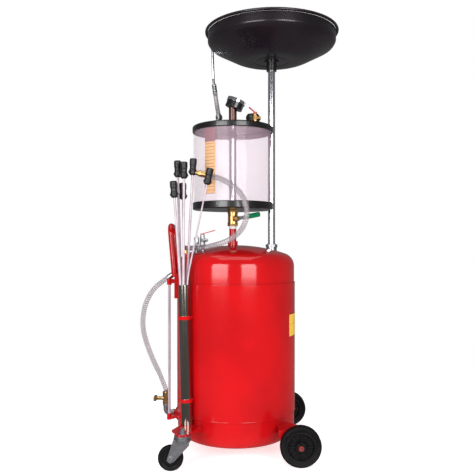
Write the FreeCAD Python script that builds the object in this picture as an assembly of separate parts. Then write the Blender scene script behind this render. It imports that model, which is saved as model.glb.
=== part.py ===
"""Wheeled pneumatic waste-oil drainer: red pressure tank, measuring chamber, overhead catch bowl.

Everything is drawn in millimetres about the tank's axis, with the floor at z = 0, +X towards the
axle wheels and -X towards the push handle and the swivel casters. At the end the whole machine is
shifted so that the bottom centre of its box, measured without the free hoses and the coupling on
one of them, is the origin.
"""
import FreeCAD, Part
import math
import os

V = FreeCAD.Vector
UP = V(0, 0, 1)
DOWN = V(0, 0, -1)
BACK = V(0, 1, 0)
RIGHT = V(1, 0, 0)
LEFT = V(-1, 0, 0)
CENTRE = V(0, 0, 0)

# Fits between pieces
RUN_FIT = 0.05            # radial play of a shaft in its bore
GAP = 0.3                 # play between neighbouring moving faces

# Pressure tank
TANK_RADIUS = 200.0
TANK_WALL = 2.5
LOWER_SEAM_Z = 126.0
SHELL_LENGTH = 427.0
HEAD_LAP = 12.0
KNUCKLE = 45.0
TOP_HEAD_DEPTH = 125.0
TOP_CROWN_RADIUS = 520.0
BOTTOM_HEAD_DEPTH = 105.0
BOTTOM_CROWN_RADIUS = 900.0

# Axle wheels
WHEEL_RADIUS = 63.5
WHEEL_WIDTH = 35.0
WHEEL_BOSS = 37.0
HUB_RADIUS = 46.0
AXLE_RADIUS = 8.0
BRACKET_PLATE = 4.0
BRACKET_REACH = 12.0      # beyond the axle's middle
BRACKET_LOW = 45.0
BRACKET_TOP = 106.0
RIB_LOW = 81.0
WASHER_THICK = 2.0

# Swivel casters
CASTER_RADIUS = 38.5
CASTER_WIDTH = 24.0
CASTER_TRAIL = 36.0
CASTER_OUT = 53.0         # swivel axis beyond the tank's side
CASTER_IN = 40.0          # swivel axis inside the tank's end
STEM_RADIUS = 6.0
CASTER_BOLT = 5.0
FORK_SHEET = 3.0
CASTER_ABOVE_WHEEL = 33.0  # corner plate's top above the wheel
CASTER_PLATE = 4.5

# Push handle
HANDLE_TUBE = 10.0
HANDLE_HALF_WIDTH = 45.0
HANDLE_RISE = 189.0       # above the tank's upper seam

# Probe store
STORE_RADIUS = 17.5
STORE_WALL = 1.5
STORE_BELOW_SEAM = 1.0    # mouth below the tank's upper seam
PROBE_RADIUS = 4.0
THIN_PROBE_RADIUS = 2.5
PROBE_RING = 11.5
GRIP_RADIUS = 11.5
GRIP_LENGTH = 53.0

# Measuring chamber, standing on a riser pipe and a ball valve
CHAMBER_X = -11.0         # keeps the riser's wall off the dome's pole
RISER_RADIUS = 12.0
RISER_BORE = 9.5
RISER_RISE = 65.0         # above the tank's crown
VALVE_LENGTH = 55.0
CHAMBER_RADIUS = 134.5
CHAMBER_WALL = 4.0
CHAMBER_HEIGHT = 270.0
RING_SHEET = 1.5
RING_HEIGHT = 24.0
LID_SKIRT = 20.0
PLATE = 4.0
GASKET = 2.0
CENTRE_TUBE_RADIUS = 12.0
SLIP = 0.3                # the rings slip over the clear tube

# Ball valve of the chamber
BALL_RADIUS = 13.0
STEM_ANGLE = -60.0        # towards the reader of the scale
LEVER_TILT = 11.0
LEVER_LENGTH = 90.0
SLEEVE_START = 40.0
STEM_RISE = 25.0          # stem above the riser's end
SLEEVE_HEIGHT = 17.0
SLEEVE_THICK = 9.0
LEVER_SHEET = 3.0
VALVE_STEM = 4.0

# Vacuum gauge
POST_RADIUS = 13.5
GAUGE_TILT = 22.0
GAUGE_RADIUS = 30.0
BEZEL_RADIUS = 32.0
GAUGE_CASE = 26.0
GAUGE_DEPTH = 31.0
DIAL_DEPTH = 14.0
GAUGE_LIFT = 80.0         # gauge centre above the lid

# Catch bowl and its pole
POLE_RADIUS = 12.5
POLE_WALL = 1.5
POLE_EDGE = 51.0          # pole axis inside the tank's side
POLE_ANGLE = 32.4
POLE_LENGTH = 1130.0
BOWL_ABOVE_LID = 248.0
BOWL_FLOOR_RADIUS = 117.0
BOWL_RADIUS = 226.0
BOWL_DEPTH = 102.0
BOWL_SHEET = 1.5
BEAD_RADIUS = 5.0

# Hoses
SUCTION_HOSE_RADIUS = 9.0
DISCHARGE_HOSE_RADIUS = 9.0
WAND_HOSE_RADIUS = 8.5
WAND_RADIUS = 4.75

# Free hoses, from end to end, about the tank's axis; their points stay as chosen
SUCTION_ROUTE = [V(-158, -68, 668), V(-112, -115, 668), V(-65, -145, 678), V(-26, -158, 691),
                 V(7, -162, 713), V(28, -163, 743), V(36, -163, 780), V(29, -163, 818),
                 V(9, -161, 850), V(-21, -159, 874), V(-59, -156, 893), V(-96, -153, 901)]
DISCHARGE_ROUTE = [V(-233, 10, 567), V(-260, 10, 549), V(-284, 10, 526), V(-304, 10, 494),
                   V(-317, 10, 454), V(-321, 10, 396), V(-306, 10, 338), V(-281, 10, 276),
                   V(-254, 10, 222), V(-240, 10, 180)]
WAND_ROUTE = [V(-62, 118, 1142), V(-66, 141, 1165), V(-72, 168, 1202), V(-77, 187, 1239)]
CORD_NODES = ("suction_hose", "suction_coupling", "discharge_hose", "wand_hose")

# Heights and places that follow
UPPER_SEAM_Z = LOWER_SEAM_Z + SHELL_LENGTH
CROWN_Z = UPPER_SEAM_Z + TOP_HEAD_DEPTH
FLOOR_CROWN_Z = LOWER_SEAM_Z - BOTTOM_HEAD_DEPTH
HEAD_RADIUS = TANK_RADIUS - TANK_WALL
AXLE_X = TANK_RADIUS - 2.0
AXLE_PLATE_Y = TANK_RADIUS + BRACKET_PLATE
WHEEL_Y = AXLE_PLATE_Y + WASHER_THICK + GAP + WHEEL_BOSS / 2
CASTER_X = -(TANK_RADIUS - CASTER_IN)
CASTER_Y = TANK_RADIUS + CASTER_OUT
CASTER_PLATE_TOP = 2 * CASTER_RADIUS + CASTER_ABOVE_WHEEL
STORE_LENGTH = UPPER_SEAM_Z - STORE_BELOW_SEAM - CASTER_PLATE_TOP
RISER_TOP = CROWN_Z + RISER_RISE
BASE_Z = RISER_TOP + VALVE_LENGTH
LID_Z = BASE_Z + PLATE + 2 * GASKET + CHAMBER_HEIGHT
LID_TOP = LID_Z + PLATE
VALVE_Z = RISER_TOP + STEM_RISE
BOWL_Z = LID_TOP + BOWL_ABOVE_LID
RIM_Z = BOWL_Z + BOWL_DEPTH
WAND_ANGLE = 149.0
WAND_OUT = 15.5           # wand axis outside the bowl's rim
HOOK_RADIUS = 17.0

parts = {}


# ---------------------------------------------------------------- basic solids
def polar(radius, degrees, z):
    """The point at this radius and angle about the tank's axis."""
    angle = math.radians(degrees)
    return V(radius * math.cos(angle), radius * math.sin(angle), z)


def unit(vector):
    """The vector's direction."""
    return V(vector) / vector.Length


def rod(base, axis, radius, length):
    """Round bar from base along axis."""
    return Part.makeCylinder(radius, length, base, axis)


def pipe(base, axis, outer, inner, length):
    """Round tube from base along axis."""
    return rod(base, axis, outer, length).cut(rod(base, axis, inner, length))


def block(low, high):
    """Box between two corners."""
    size = high - low
    return Part.makeBox(size.x, size.y, size.z, low)


def aim(shape, origin, axis, across=None):
    """Moves a shape drawn about +Z so that +Z runs along axis and +X along across."""
    axis = unit(axis)
    if across is None:
        turn = FreeCAD.Rotation(UP, axis)
    else:
        across = unit(across - axis * across.dot(axis))
        turn = FreeCAD.Rotation(across, axis.cross(across), axis, "ZXY")
    moved = shape.copy()
    moved.Placement = FreeCAD.Placement(origin, turn)
    return moved


def hexagon(base, axis, flats, length):
    """Hexagonal bar, flats apart, from base along axis."""
    corner = flats / math.sqrt(3.0)
    ring = [polar(corner, 60.0 * k, 0) for k in range(7)]
    return aim(Part.Face(Part.makePolygon(ring)).extrude(V(0, 0, length)), base, axis)


def lathe(outline):
    """Turns a closed outline of (radius, height) points about +Z."""
    corners = [V(radius, 0, height) for radius, height in outline]
    face = Part.Face(Part.makePolygon(corners + corners[:1]))
    return face.revolve(CENTRE, UP, 360)


def slab(corners, low, high):
    """Flat plate with these plan corners between two heights."""
    ring = [V(x, y, low) for x, y in corners]
    return Part.Face(Part.makePolygon(ring + ring[:1])).extrude(V(0, 0, high - low))


def filleted(shape, radius, wanted):
    """Rounds the edges for which wanted(edge) holds."""
    edges = [edge for edge in shape.Edges if wanted(edge)]
    return shape.makeFillet(radius, edges)


def bend_path(points, bend_of):
    """Straight runs joined by tangent arcs: the wire, its length and the arcs' radii."""
    edges = []
    radii = []
    start = points[0]
    for before, corner, after in zip(points, points[1:], points[2:]):
        back = unit(before - corner)
        on = unit(after - corner)
        half_turn = (math.pi - back.getAngle(on)) / 2
        radius = bend_of((corner - before).Length, (after - corner).Length, half_turn)
        reach = radius * math.tan(half_turn)
        enter = corner + back * reach
        leave = corner + on * reach
        middle = corner + unit(back + on) * (radius / math.cos(half_turn) - radius)
        edges.append(Part.LineSegment(start, enter).toShape())
        edges.append(Part.Arc(enter, middle, leave).toShape())
        radii.append(radius)
        start = leave
    edges.append(Part.LineSegment(start, points[-1]).toShape())
    wire = Part.Wire(edges)
    return wire, wire.Length, radii


def swept(wire, start, axis, radius):
    """Round section carried along a wire."""
    ring = Part.Wire(Part.makeCircle(radius, start, axis))
    return wire.makePipeShell([ring], True, False)


def bent_rod(points, radius, bend):
    """Bar through these points, with one bend radius at every corner."""
    wire = bend_path(points, lambda before, after, half: bend)[0]
    return swept(wire, points[0], points[1] - points[0], radius)


def largest_bend(before, after, half_turn):
    """The largest arc that two runs of a hose allow."""
    return 0.45 * min(before, after) / math.tan(half_turn)


def hose(name, points, radius):
    """A free hose as a plain tube on its route."""
    wire, length, radii = bend_path(points, largest_bend)
    solid = swept(wire, points[0], points[1] - points[0], radius)
    share = solid.Volume / (math.pi * radius ** 2 * length)
    print("%s: length %.0f, tightest radius %.0f, volume share %.4f"
          % (name, length, min(radii), share))
    print("  radii", " ".join("%.0f" % bend for bend in radii))
    parts[name] = solid


def heading(route, first):
    """Direction in which a hose leaves its first or reaches its last point."""
    return unit(route[1] - route[0]) if first else unit(route[-1] - route[-2])


# ---------------------------------------------------------------- tank
def knuckle_centre(skirt, knuckle, crown, crown_z):
    """Height of the knuckle's centre under a dished head."""
    return crown_z - crown + math.sqrt((crown - knuckle) ** 2 - (skirt - knuckle) ** 2)


def dished_head(skirt, knuckle, crown, crown_z, foot_z):
    """Filled dished head, dome upwards: crown arc, knuckle arc and straight skirt."""
    centre_r = skirt - knuckle
    centre_z = knuckle_centre(skirt, knuckle, crown, crown_z)
    lean = math.asin(centre_r / (crown - knuckle))
    crown_centre = crown_z - crown
    tangent = V(crown * math.sin(lean), 0, crown_centre + crown * math.cos(lean))
    crown_mid = V(crown * math.sin(lean / 2), 0, crown_centre + crown * math.cos(lean / 2))
    half = (lean + math.pi / 2) / 2
    knuckle_mid = V(centre_r + knuckle * math.sin(half), 0, centre_z + knuckle * math.cos(half))
    shoulder = V(skirt, 0, centre_z)
    edges = [Part.Arc(V(0, 0, crown_z), crown_mid, tangent).toShape(),
             Part.Arc(tangent, knuckle_mid, shoulder).toShape(),
             Part.LineSegment(shoulder, V(skirt, 0, foot_z)).toShape(),
             Part.LineSegment(V(skirt, 0, foot_z), V(0, 0, foot_z)).toShape(),
             Part.LineSegment(V(0, 0, foot_z), V(0, 0, crown_z)).toShape()]
    return Part.Face(Part.Wire(edges)).revolve(CENTRE, UP, 360)


def top_head_solid(inset, foot_z):
    """The top head's outside, or its inside when inset by the wall."""
    return dished_head(HEAD_RADIUS - inset, KNUCKLE - inset, TOP_CROWN_RADIUS - inset,
                       CROWN_Z - inset, foot_z)


def bottom_head_solid(inset, foot_z):
    """The bottom head's outside, or its inside when inset by the wall."""
    dome = dished_head(HEAD_RADIUS - inset, KNUCKLE - inset, BOTTOM_CROWN_RADIUS - inset,
                       -FLOOR_CROWN_Z - inset, -foot_z)
    return dome.mirror(CENTRE, UP)


def dome_z(radius):
    """Height of the top head's outside at this distance from the axis."""
    centre_r = HEAD_RADIUS - KNUCKLE
    lean = math.asin(centre_r / (TOP_CROWN_RADIUS - KNUCKLE))
    if radius <= TOP_CROWN_RADIUS * math.sin(lean):
        return CROWN_Z - TOP_CROWN_RADIUS + math.sqrt(TOP_CROWN_RADIUS ** 2 - radius ** 2)
    centre_z = knuckle_centre(HEAD_RADIUS, KNUCKLE, TOP_CROWN_RADIUS, CROWN_Z)
    return centre_z + math.sqrt(KNUCKLE ** 2 - (radius - centre_r) ** 2)


def dome_point(edge, degrees, above=0.0):
    """Point over the top head, edge inside the tank's side, this far above the metal."""
    radius = TANK_RADIUS - edge
    return polar(radius, degrees, dome_z(radius) + above)


TANK_ENVELOPE = rod(V(0, 0, LOWER_SEAM_Z), UP, TANK_RADIUS, SHELL_LENGTH).fuse(
    [top_head_solid(0, UPPER_SEAM_Z - HEAD_LAP), bottom_head_solid(0, LOWER_SEAM_Z + HEAD_LAP)])

# Fittings on the top head: distance inside the tank's side, and angle
SUCTION_PORT = (22.5, 199.1)
AIR_VALVE_PORT = (65.0, 215.3)
SAFETY_PORT = (49.0, 210.6)
POLE_PORT = (POLE_EDGE, POLE_ANGLE)
POLE_AXIS = polar(TANK_RADIUS - POLE_EDGE, POLE_ANGLE, 0)
CHAMBER_AXIS = V(CHAMBER_X, 0, 0)
DRAIN_Y = 10.0
DRAIN_Z = LOWER_SEAM_Z - 21.0
RETURN_Z = UPPER_SEAM_Z + 32.0
PORT_RADIUS = 11.0
PORT_OUT = 12.0


def side_port(z, out):
    """Welded socket on the tank's handle side."""
    start = V(-(TANK_RADIUS - 15.0), DRAIN_Y, z)
    return rod(start, LEFT, PORT_RADIUS, 15.0 + out)


def build_tank():
    """Rolled shell with joggled ends that lap over two dished heads."""
    shell = pipe(V(0, 0, LOWER_SEAM_Z), UP, TANK_RADIUS, HEAD_RADIUS, SHELL_LENGTH)
    parts["tank_shell"] = shell

    foot = UPPER_SEAM_Z - HEAD_LAP
    outside = top_head_solid(0, foot)
    suction = dome_point(*SUCTION_PORT)
    boss = rod(suction - UP * 20.0, UP, 10.0, 26.0)
    outside = outside.fuse([boss, side_port(RETURN_Z, PORT_OUT - 4.0)])
    head = outside.cut(top_head_solid(TANK_WALL, foot - 1.0))
    head = head.cut(rod(suction - UP * 25.0, UP, 6.0, 40.0))
    head = head.cut(rod(V(-HEAD_RADIUS + 20.0, DRAIN_Y, RETURN_Z), LEFT, 6.0, 60.0))
    head = head.cut(rod(V(CHAMBER_X, 0, CROWN_Z - 40.0), UP, RISER_RADIUS, 80.0))
    head = head.cut(rod(V(POLE_AXIS.x, POLE_AXIS.y, CROWN_Z - 60.0), UP, POLE_RADIUS + 1.5, 90.0))
    parts["tank_top_head"] = head

    foot = LOWER_SEAM_Z + HEAD_LAP
    bottom = bottom_head_solid(0, foot).fuse(side_port(DRAIN_Z, PORT_OUT))
    bottom = bottom.cut(bottom_head_solid(TANK_WALL, foot + 1.0))
    bottom = bottom.cut(rod(V(-HEAD_RADIUS + 20.0, DRAIN_Y, DRAIN_Z), LEFT, 6.0, 60.0))
    parts["tank_bottom_head"] = bottom


def build_handle():
    """U-shaped push handle, its ends flattened and welded to the shell."""
    foot_z = UPPER_SEAM_Z + 22.0
    leg_x = -(TANK_RADIUS + HANDLE_TUBE / 2)
    top_x = leg_x - 14.0
    top_z = UPPER_SEAM_Z + HANDLE_RISE
    route = [V(leg_x, -HANDLE_HALF_WIDTH, foot_z), V(leg_x - 3.0, -HANDLE_HALF_WIDTH, foot_z + 40.0),
             V(top_x, -HANDLE_HALF_WIDTH, top_z), V(top_x, HANDLE_HALF_WIDTH, top_z),
             V(leg_x - 3.0, HANDLE_HALF_WIDTH, foot_z + 40.0), V(leg_x, HANDLE_HALF_WIDTH, foot_z)]
    grip = bent_rod(route, HANDLE_TUBE, 28.0)
    for side in (-1, 1):
        low = V(-TANK_RADIUS - 5.0, side * HANDLE_HALF_WIDTH - 12.0, UPPER_SEAM_Z - 52.0)
        high = V(-TANK_RADIUS + 15.0, side * HANDLE_HALF_WIDTH + 12.0, foot_z + 9.0)
        grip = grip.fuse(block(low, high))
    parts["push_handle"] = grip.cut(TANK_ENVELOPE).removeSplitter()


# ---------------------------------------------------------------- axle wheels
def both_sides(make):
    """A group of two mirrored solids, one each side of the machine."""
    right = make()
    return Part.makeCompound([right, right.mirror(CENTRE, BACK)])


def axle_bracket():
    """Welded angle plate that carries one stub axle."""
    reach = AXLE_X + BRACKET_REACH
    inner = TANK_RADIUS * 0.66
    cheek = block(V(inner, -AXLE_PLATE_Y, BRACKET_LOW), V(reach, -TANK_RADIUS, BRACKET_TOP))
    nose = [(inner, -AXLE_PLATE_Y), (reach, -AXLE_PLATE_Y), (reach, -TANK_RADIUS * 0.78),
            (TANK_RADIUS * 0.8, -TANK_RADIUS * 0.55), (inner, -TANK_RADIUS * 0.65)]
    flange = slab(nose, BRACKET_TOP - BRACKET_PLATE, BRACKET_TOP)
    rib = block(V(inner, -AXLE_PLATE_Y, RIB_LOW), V(inner + BRACKET_PLATE, -TANK_RADIUS * 0.65, BRACKET_TOP))
    corner = block(V(inner - 1.0, -AXLE_PLATE_Y - 1.0, BRACKET_LOW - 1.0),
                   V(AXLE_X - 22.0, 1.0 - TANK_RADIUS, RIB_LOW))
    plate = cheek.cut(corner).fuse([flange, rib]).cut(TANK_ENVELOPE)
    bore = rod(V(AXLE_X, -AXLE_PLATE_Y - 1.0, WHEEL_RADIUS), BACK, AXLE_RADIUS, BRACKET_PLATE + 2.0)
    return plate.cut(bore).removeSplitter()


def stub_axle():
    """Stub axle with a cross hole for its split pin."""
    outer_y = -(WHEEL_Y + WHEEL_BOSS / 2 + GAP + WASHER_THICK + 6.0)
    start = V(AXLE_X, outer_y, WHEEL_RADIUS)
    bar = rod(start, BACK, AXLE_RADIUS, -TANK_RADIUS + 8.0 - outer_y)
    flange = rod(V(AXLE_X, -TANK_RADIUS, WHEEL_RADIUS), BACK, AXLE_RADIUS + 4.0, 5.0)
    hole = rod(V(AXLE_X, outer_y + 3.0, WHEEL_RADIUS - 20.0), UP, 1.7, 40.0)
    return bar.fuse(flange).cut(hole)


def axle_washer(y):
    """Plain washer on the stub axle."""
    return pipe(V(AXLE_X, y, WHEEL_RADIUS), BACK, 14.0, AXLE_RADIUS, WASHER_THICK)


def split_pin():
    """Split pin through the stub axle, with its eye."""
    y = -(WHEEL_Y + WHEEL_BOSS / 2 + GAP + WASHER_THICK + 3.0)
    leg = rod(V(AXLE_X, y, WHEEL_RADIUS - 15.0), UP, 1.6, 29.0)
    eye = Part.makeTorus(3.5, 1.2, V(AXLE_X, y, WHEEL_RADIUS + 17.0), RIGHT)
    return leg.fuse(eye)


def axle_wheel(side):
    """Rubber tyre on a ribbed hub with a plain bore."""
    half = WHEEL_WIDTH / 2
    tyre = lathe([(HUB_RADIUS, -half + 2.0), (WHEEL_RADIUS - 6.0, -half),
                  (WHEEL_RADIUS - 1.5, -half + 5.0), (WHEEL_RADIUS, -half + 10.0),
                  (WHEEL_RADIUS, half - 10.0),
                  (WHEEL_RADIUS - 1.5, half - 5.0), (WHEEL_RADIUS - 6.0, half), (HUB_RADIUS, half - 2.0)])
    bore = AXLE_RADIUS + RUN_FIT
    boss = WHEEL_BOSS / 2
    hub = lathe([(bore, -boss), (16.0, -boss), (16.0, -4.0), (HUB_RADIUS - 5.0, -4.0),
                 (HUB_RADIUS - 4.0, -half + 2.0), (HUB_RADIUS, -half + 2.0), (HUB_RADIUS, half - 2.0),
                 (HUB_RADIUS - 4.0, half - 2.0), (HUB_RADIUS - 5.0, 4.0), (16.0, 4.0), (16.0, boss),
                 (bore, boss)])
    ribs = []
    for k in range(8):
        rib = block(V(14.0, -1.5, -11.0), V(HUB_RADIUS - 3.0, 1.5, 11.0))
        rib.rotate(CENTRE, UP, 45.0 * k)
        ribs.append(rib)
    hub = hub.fuse(ribs)
    wheel = Part.makeCompound([tyre, hub])
    return aim(wheel, V(AXLE_X, side * WHEEL_Y, WHEEL_RADIUS), BACK)


def build_axle_wheels():
    """Brackets, stub axles, fasteners and the two fixed wheels."""
    parts["axle_brackets"] = both_sides(axle_bracket)
    parts["stub_axles"] = both_sides(stub_axle)
    outer = -(WHEEL_Y + WHEEL_BOSS / 2 + GAP + WASHER_THICK)
    inner = -(AXLE_PLATE_Y + WASHER_THICK)
    fasteners = []
    for solid in (axle_washer(outer), axle_washer(inner), split_pin()):
        fasteners += [solid, solid.mirror(CENTRE, BACK)]
    parts["axle_washers_and_pins"] = Part.makeCompound(fasteners)
    parts["axle_wheel_right"] = axle_wheel(-1)
    parts["axle_wheel_left"] = axle_wheel(1)


# ---------------------------------------------------------------- casters
def stands_at(edge, corners):
    """Whether an upright edge stands at one of these plan corners."""
    ends = [vertex.Point for vertex in edge.Vertexes]
    if abs(ends[0].z - ends[-1].z) < 1.0:
        return False
    return any(abs(ends[0].x - x) < 0.1 and abs(ends[0].y - y) < 0.1 for x, y in corners)


def caster_bracket():
    """Corner plate welded to the tank, with a flange under each edge."""
    apex = V(CASTER_X, -CASTER_Y, 0)
    heel = polar(TANK_RADIUS - 8.0, 237.8, 0)
    shoulder = polar(TANK_RADIUS - 8.0, 214.9, 0)
    wing = V(CASTER_X - 38.0, -CASTER_Y + 37.0, 0)
    outline = [(heel.x, heel.y), (apex.x + 14.0, apex.y - 13.0), (apex.x - 14.0, apex.y - 13.0),
               (wing.x, wing.y), (shoulder.x, shoulder.y)]
    low = CASTER_PLATE_TOP - CASTER_PLATE
    plate = slab(outline, low, CASTER_PLATE_TOP)
    plate = filleted(plate, 11.0, lambda edge: stands_at(edge, outline[1:4]))
    along = unit(apex + V(14, -13, 0) - heel)
    across = V(-along.y, along.x, 0)
    inward = across if across.x < 0 else across * -1.0
    run = 60.0
    far = heel + along * run
    edge_low = [V(heel.x, heel.y, low - 20.0), V(heel.x, heel.y, low + 1.0), V(far.x, far.y, low + 1.0),
                V(far.x, far.y, low - 2.0)]
    rib = Part.Face(Part.makePolygon(edge_low + edge_low[:1])).extrude(inward * 4.0)
    bore = rod(V(apex.x, apex.y, low - 1.0), UP, STEM_RADIUS, CASTER_PLATE + 2.0)
    return plate.fuse(rib).cut(TANK_ENVELOPE).cut(bore).removeSplitter()


def caster_stem():
    """Swivel stem with upper race, washer and nut; a flange holds the fork."""
    low = CASTER_PLATE_TOP - CASTER_PLATE
    fork_top = low - 7.0
    base = V(CASTER_X, -CASTER_Y, 0)
    fork_low = fork_top - 7.0
    pin = rod(base + UP * (fork_low - 7.0), UP, STEM_RADIUS, CASTER_PLATE_TOP + 18.0 - fork_low + 7.0)
    flange = rod(base + UP * (fork_low - 7.0), UP, 10.0, 7.0 - GAP)
    race = rod(base + UP * (fork_top + GAP), UP, 26.0, 7.0 - GAP)
    washer = rod(base + UP * CASTER_PLATE_TOP, UP, 13.0, 2.0)
    nut = hexagon(base + UP * (CASTER_PLATE_TOP + 2.0), UP, 18.0, 9.0)
    return pin.fuse([flange, race, washer, nut])


def caster_fork(side):
    """Pressed fork on the stem, trailing its wheel, with the wheel bolt as a second solid."""
    low = CASTER_PLATE_TOP - CASTER_PLATE
    fork_top = low - 7.0
    fork_low = fork_top - 7.0
    inside = CASTER_WIDTH / 2 + 3.0
    crown = rod(V(0, 0, fork_low), UP, 27.0, 7.0)
    legs = []
    for direction in (-1, 1):
        low_y = inside if direction > 0 else -inside - FORK_SHEET
        leg = [V(-27.0, low_y, fork_low + 5.0), V(22.0, low_y, fork_low + 5.0),
               V(20.0, low_y, fork_low - 12.0),
               V(-CASTER_TRAIL + 11.0, low_y, CASTER_RADIUS - 7.0),
               V(-CASTER_TRAIL, low_y, CASTER_RADIUS - 12.0),
               V(-CASTER_TRAIL - 11.0, low_y, CASTER_RADIUS - 4.0)]
        legs.append(Part.Face(Part.makePolygon(leg + leg[:1])).extrude(V(0, FORK_SHEET, 0)))
    fork = crown.fuse(legs).cut(rod(V(0, 0, fork_low - 1.0), UP, STEM_RADIUS + RUN_FIT, 20.0))
    bolt_y = inside + FORK_SHEET
    start = V(-CASTER_TRAIL, -bolt_y, CASTER_RADIUS)
    bolt = rod(start, BACK, CASTER_BOLT, 2 * bolt_y)
    fork = fork.cut(bolt).removeSplitter()
    heads = [hexagon(start - BACK * 5.0, BACK, 15.0, 5.0),
             hexagon(start + BACK * (2 * bolt_y), BACK, 15.0, 6.0)]
    group = Part.makeCompound([fork, bolt.fuse(heads)])
    group.translate(V(CASTER_X, side * CASTER_Y, 0))
    return group


def caster_wheel(side):
    """Solid wheel with recessed faces, free on its bolt."""
    half = CASTER_WIDTH / 2
    bore = CASTER_BOLT + RUN_FIT
    dish = CASTER_RADIUS - 9.5
    half_outline = [(bore, half + 2.5), (9.0, half + 2.5), (10.0, half - 3.0), (dish - 3.0, half - 4.0),
                    (dish, half), (CASTER_RADIUS - 5.0, half), (CASTER_RADIUS - 1.0, half - 4.0),
                    (CASTER_RADIUS, half - 9.0)]
    wheel = lathe(half_outline + [(radius, -y) for radius, y in reversed(half_outline)])
    return aim(wheel, V(CASTER_X - CASTER_TRAIL, side * CASTER_Y, CASTER_RADIUS), BACK)


def build_casters():
    """Corner brackets, stems, forks and wheels of the two swivel casters."""
    parts["caster_brackets"] = both_sides(caster_bracket)
    parts["caster_stems"] = both_sides(caster_stem)
    for name, side in (("right", -1), ("left", 1)):
        parts["caster_fork_" + name] = caster_fork(side)
        parts["caster_wheel_" + name] = caster_wheel(side)


# ---------------------------------------------------------------- probe store and probes
STORE_FOOT = polar(TANK_RADIUS + STORE_RADIUS + 1.7, 225.0, CASTER_PLATE_TOP)
STORE_MOUTH = polar(TANK_RADIUS + 26.4, 223.2, CASTER_PLATE_TOP + STORE_LENGTH)
STORE_AXIS = unit(STORE_MOUTH - STORE_FOOT)


def store_centre(z):
    """Centre of the storage tube at this height."""
    return STORE_FOOT + STORE_AXIS * ((z - STORE_FOOT.z) / STORE_AXIS.z)


def store_band(z):
    """Red clip round the storage tube, welded to the tank."""
    base = store_centre(z)
    ring = rod(base, STORE_AXIS, STORE_RADIUS + 3.0, 11.0)
    inward = unit(V(-base.x, -base.y, 0))
    tab = block(V(0, -9.0, 0), V(40.0, 9.0, 11.0))
    tab = aim(tab, base, UP, inward)
    return ring.fuse(tab).cut(TANK_ENVELOPE).cut(rod(STORE_FOOT, STORE_AXIS, STORE_RADIUS, STORE_LENGTH))


# Each probe: slot angle in the store, grip centre from the store's mouth, tube radius, foot above plate
PROBES = [
    (150.0, V(-20.0, 9.0, 368.0), PROBE_RADIUS, 40.0),
    (270.0, V(2.0, -16.0, 361.0), PROBE_RADIUS, 25.0),
    (30.0, V(29.0, 3.0, 374.0), PROBE_RADIUS, 32.0),
    (330.0, V(80.0, -30.0, 340.0), THIN_PROBE_RADIUS, 70.0),
    (210.0, V(-30.0, -14.0, 301.0), PROBE_RADIUS, 18.0),
    (90.0, V(-4.0, 17.0, 298.0), PROBE_RADIUS, 50.0),
]


def probe_pair(slot, grip_at, radius, above_plate):
    """One suction probe: its bent nylon tube and its coupling grip."""
    offset = polar(PROBE_RING, slot, 0)
    foot = store_centre(CASTER_PLATE_TOP + above_plate) + offset
    mouth = store_centre(STORE_MOUTH.z + 12.0) + offset
    centre = STORE_MOUTH + grip_at
    lean = unit(centre - mouth)
    grip_low = centre - lean * (GRIP_LENGTH / 2)
    outer = bent_rod([foot, mouth, grip_low], radius, 400.0)
    inner = bent_rod([foot, mouth, grip_low], radius - 1.0, 400.0)
    half = GRIP_LENGTH / 2
    grip = lathe([(0, -half), (7.0, -half), (GRIP_RADIUS, -half + 6.0), (GRIP_RADIUS, -half + 15.0),
                  (8.5, -half + 20.0), (8.5, half - 22.0), (10.5, half - 18.0), (10.5, half - 4.0),
                  (8.0, half), (0, half)])
    lugs = block(V(-15.0, -2.5, -half + 7.0), V(15.0, 2.5, -half + 14.0))
    grip = aim(grip.fuse(lugs), centre, lean)
    return outer.cut(inner), grip


def build_probes():
    """Storage tube, its clips and the six probes that stand in it."""
    store = pipe(STORE_FOOT - STORE_AXIS * 5.0, STORE_AXIS, STORE_RADIUS, STORE_RADIUS - STORE_WALL,
                 STORE_LENGTH + 5.0)
    floor = rod(STORE_FOOT - STORE_AXIS * 5.0, STORE_AXIS, STORE_RADIUS, 9.0)
    low = V(-2 * TANK_RADIUS, -2 * TANK_RADIUS, 0)
    store = store.fuse(floor).cut(block(low, V(0, 0, CASTER_PLATE_TOP)))
    parts["probe_storage_tube"] = store
    seam = UPPER_SEAM_Z
    bands = [store_band(seam - 110.0), store_band(LOWER_SEAM_Z + 56.0)]
    parts["storage_tube_bands"] = Part.makeCompound(bands)
    pairs = [probe_pair(*probe) for probe in PROBES]
    parts["probe_tubes"] = Part.makeCompound([tube for tube, grip in pairs])
    parts["probe_grips"] = Part.makeCompound([grip for tube, grip in pairs])


# ---------------------------------------------------------------- measuring chamber
STEM_DIRECTION = polar(1.0, STEM_ANGLE, 0)
VALVE_CENTRE = V(CHAMBER_X, 0, VALVE_Z)
LEVER_LEVEL = polar(1.0, STEM_ANGLE + 90.0, 0)
LEVER_RISE = math.radians(LEVER_TILT)
LEVER_DIRECTION = LEVER_LEVEL * math.cos(LEVER_RISE) + UP * math.sin(LEVER_RISE)
BONNET = 31.5             # bonnet face from the valve's centre


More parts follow.
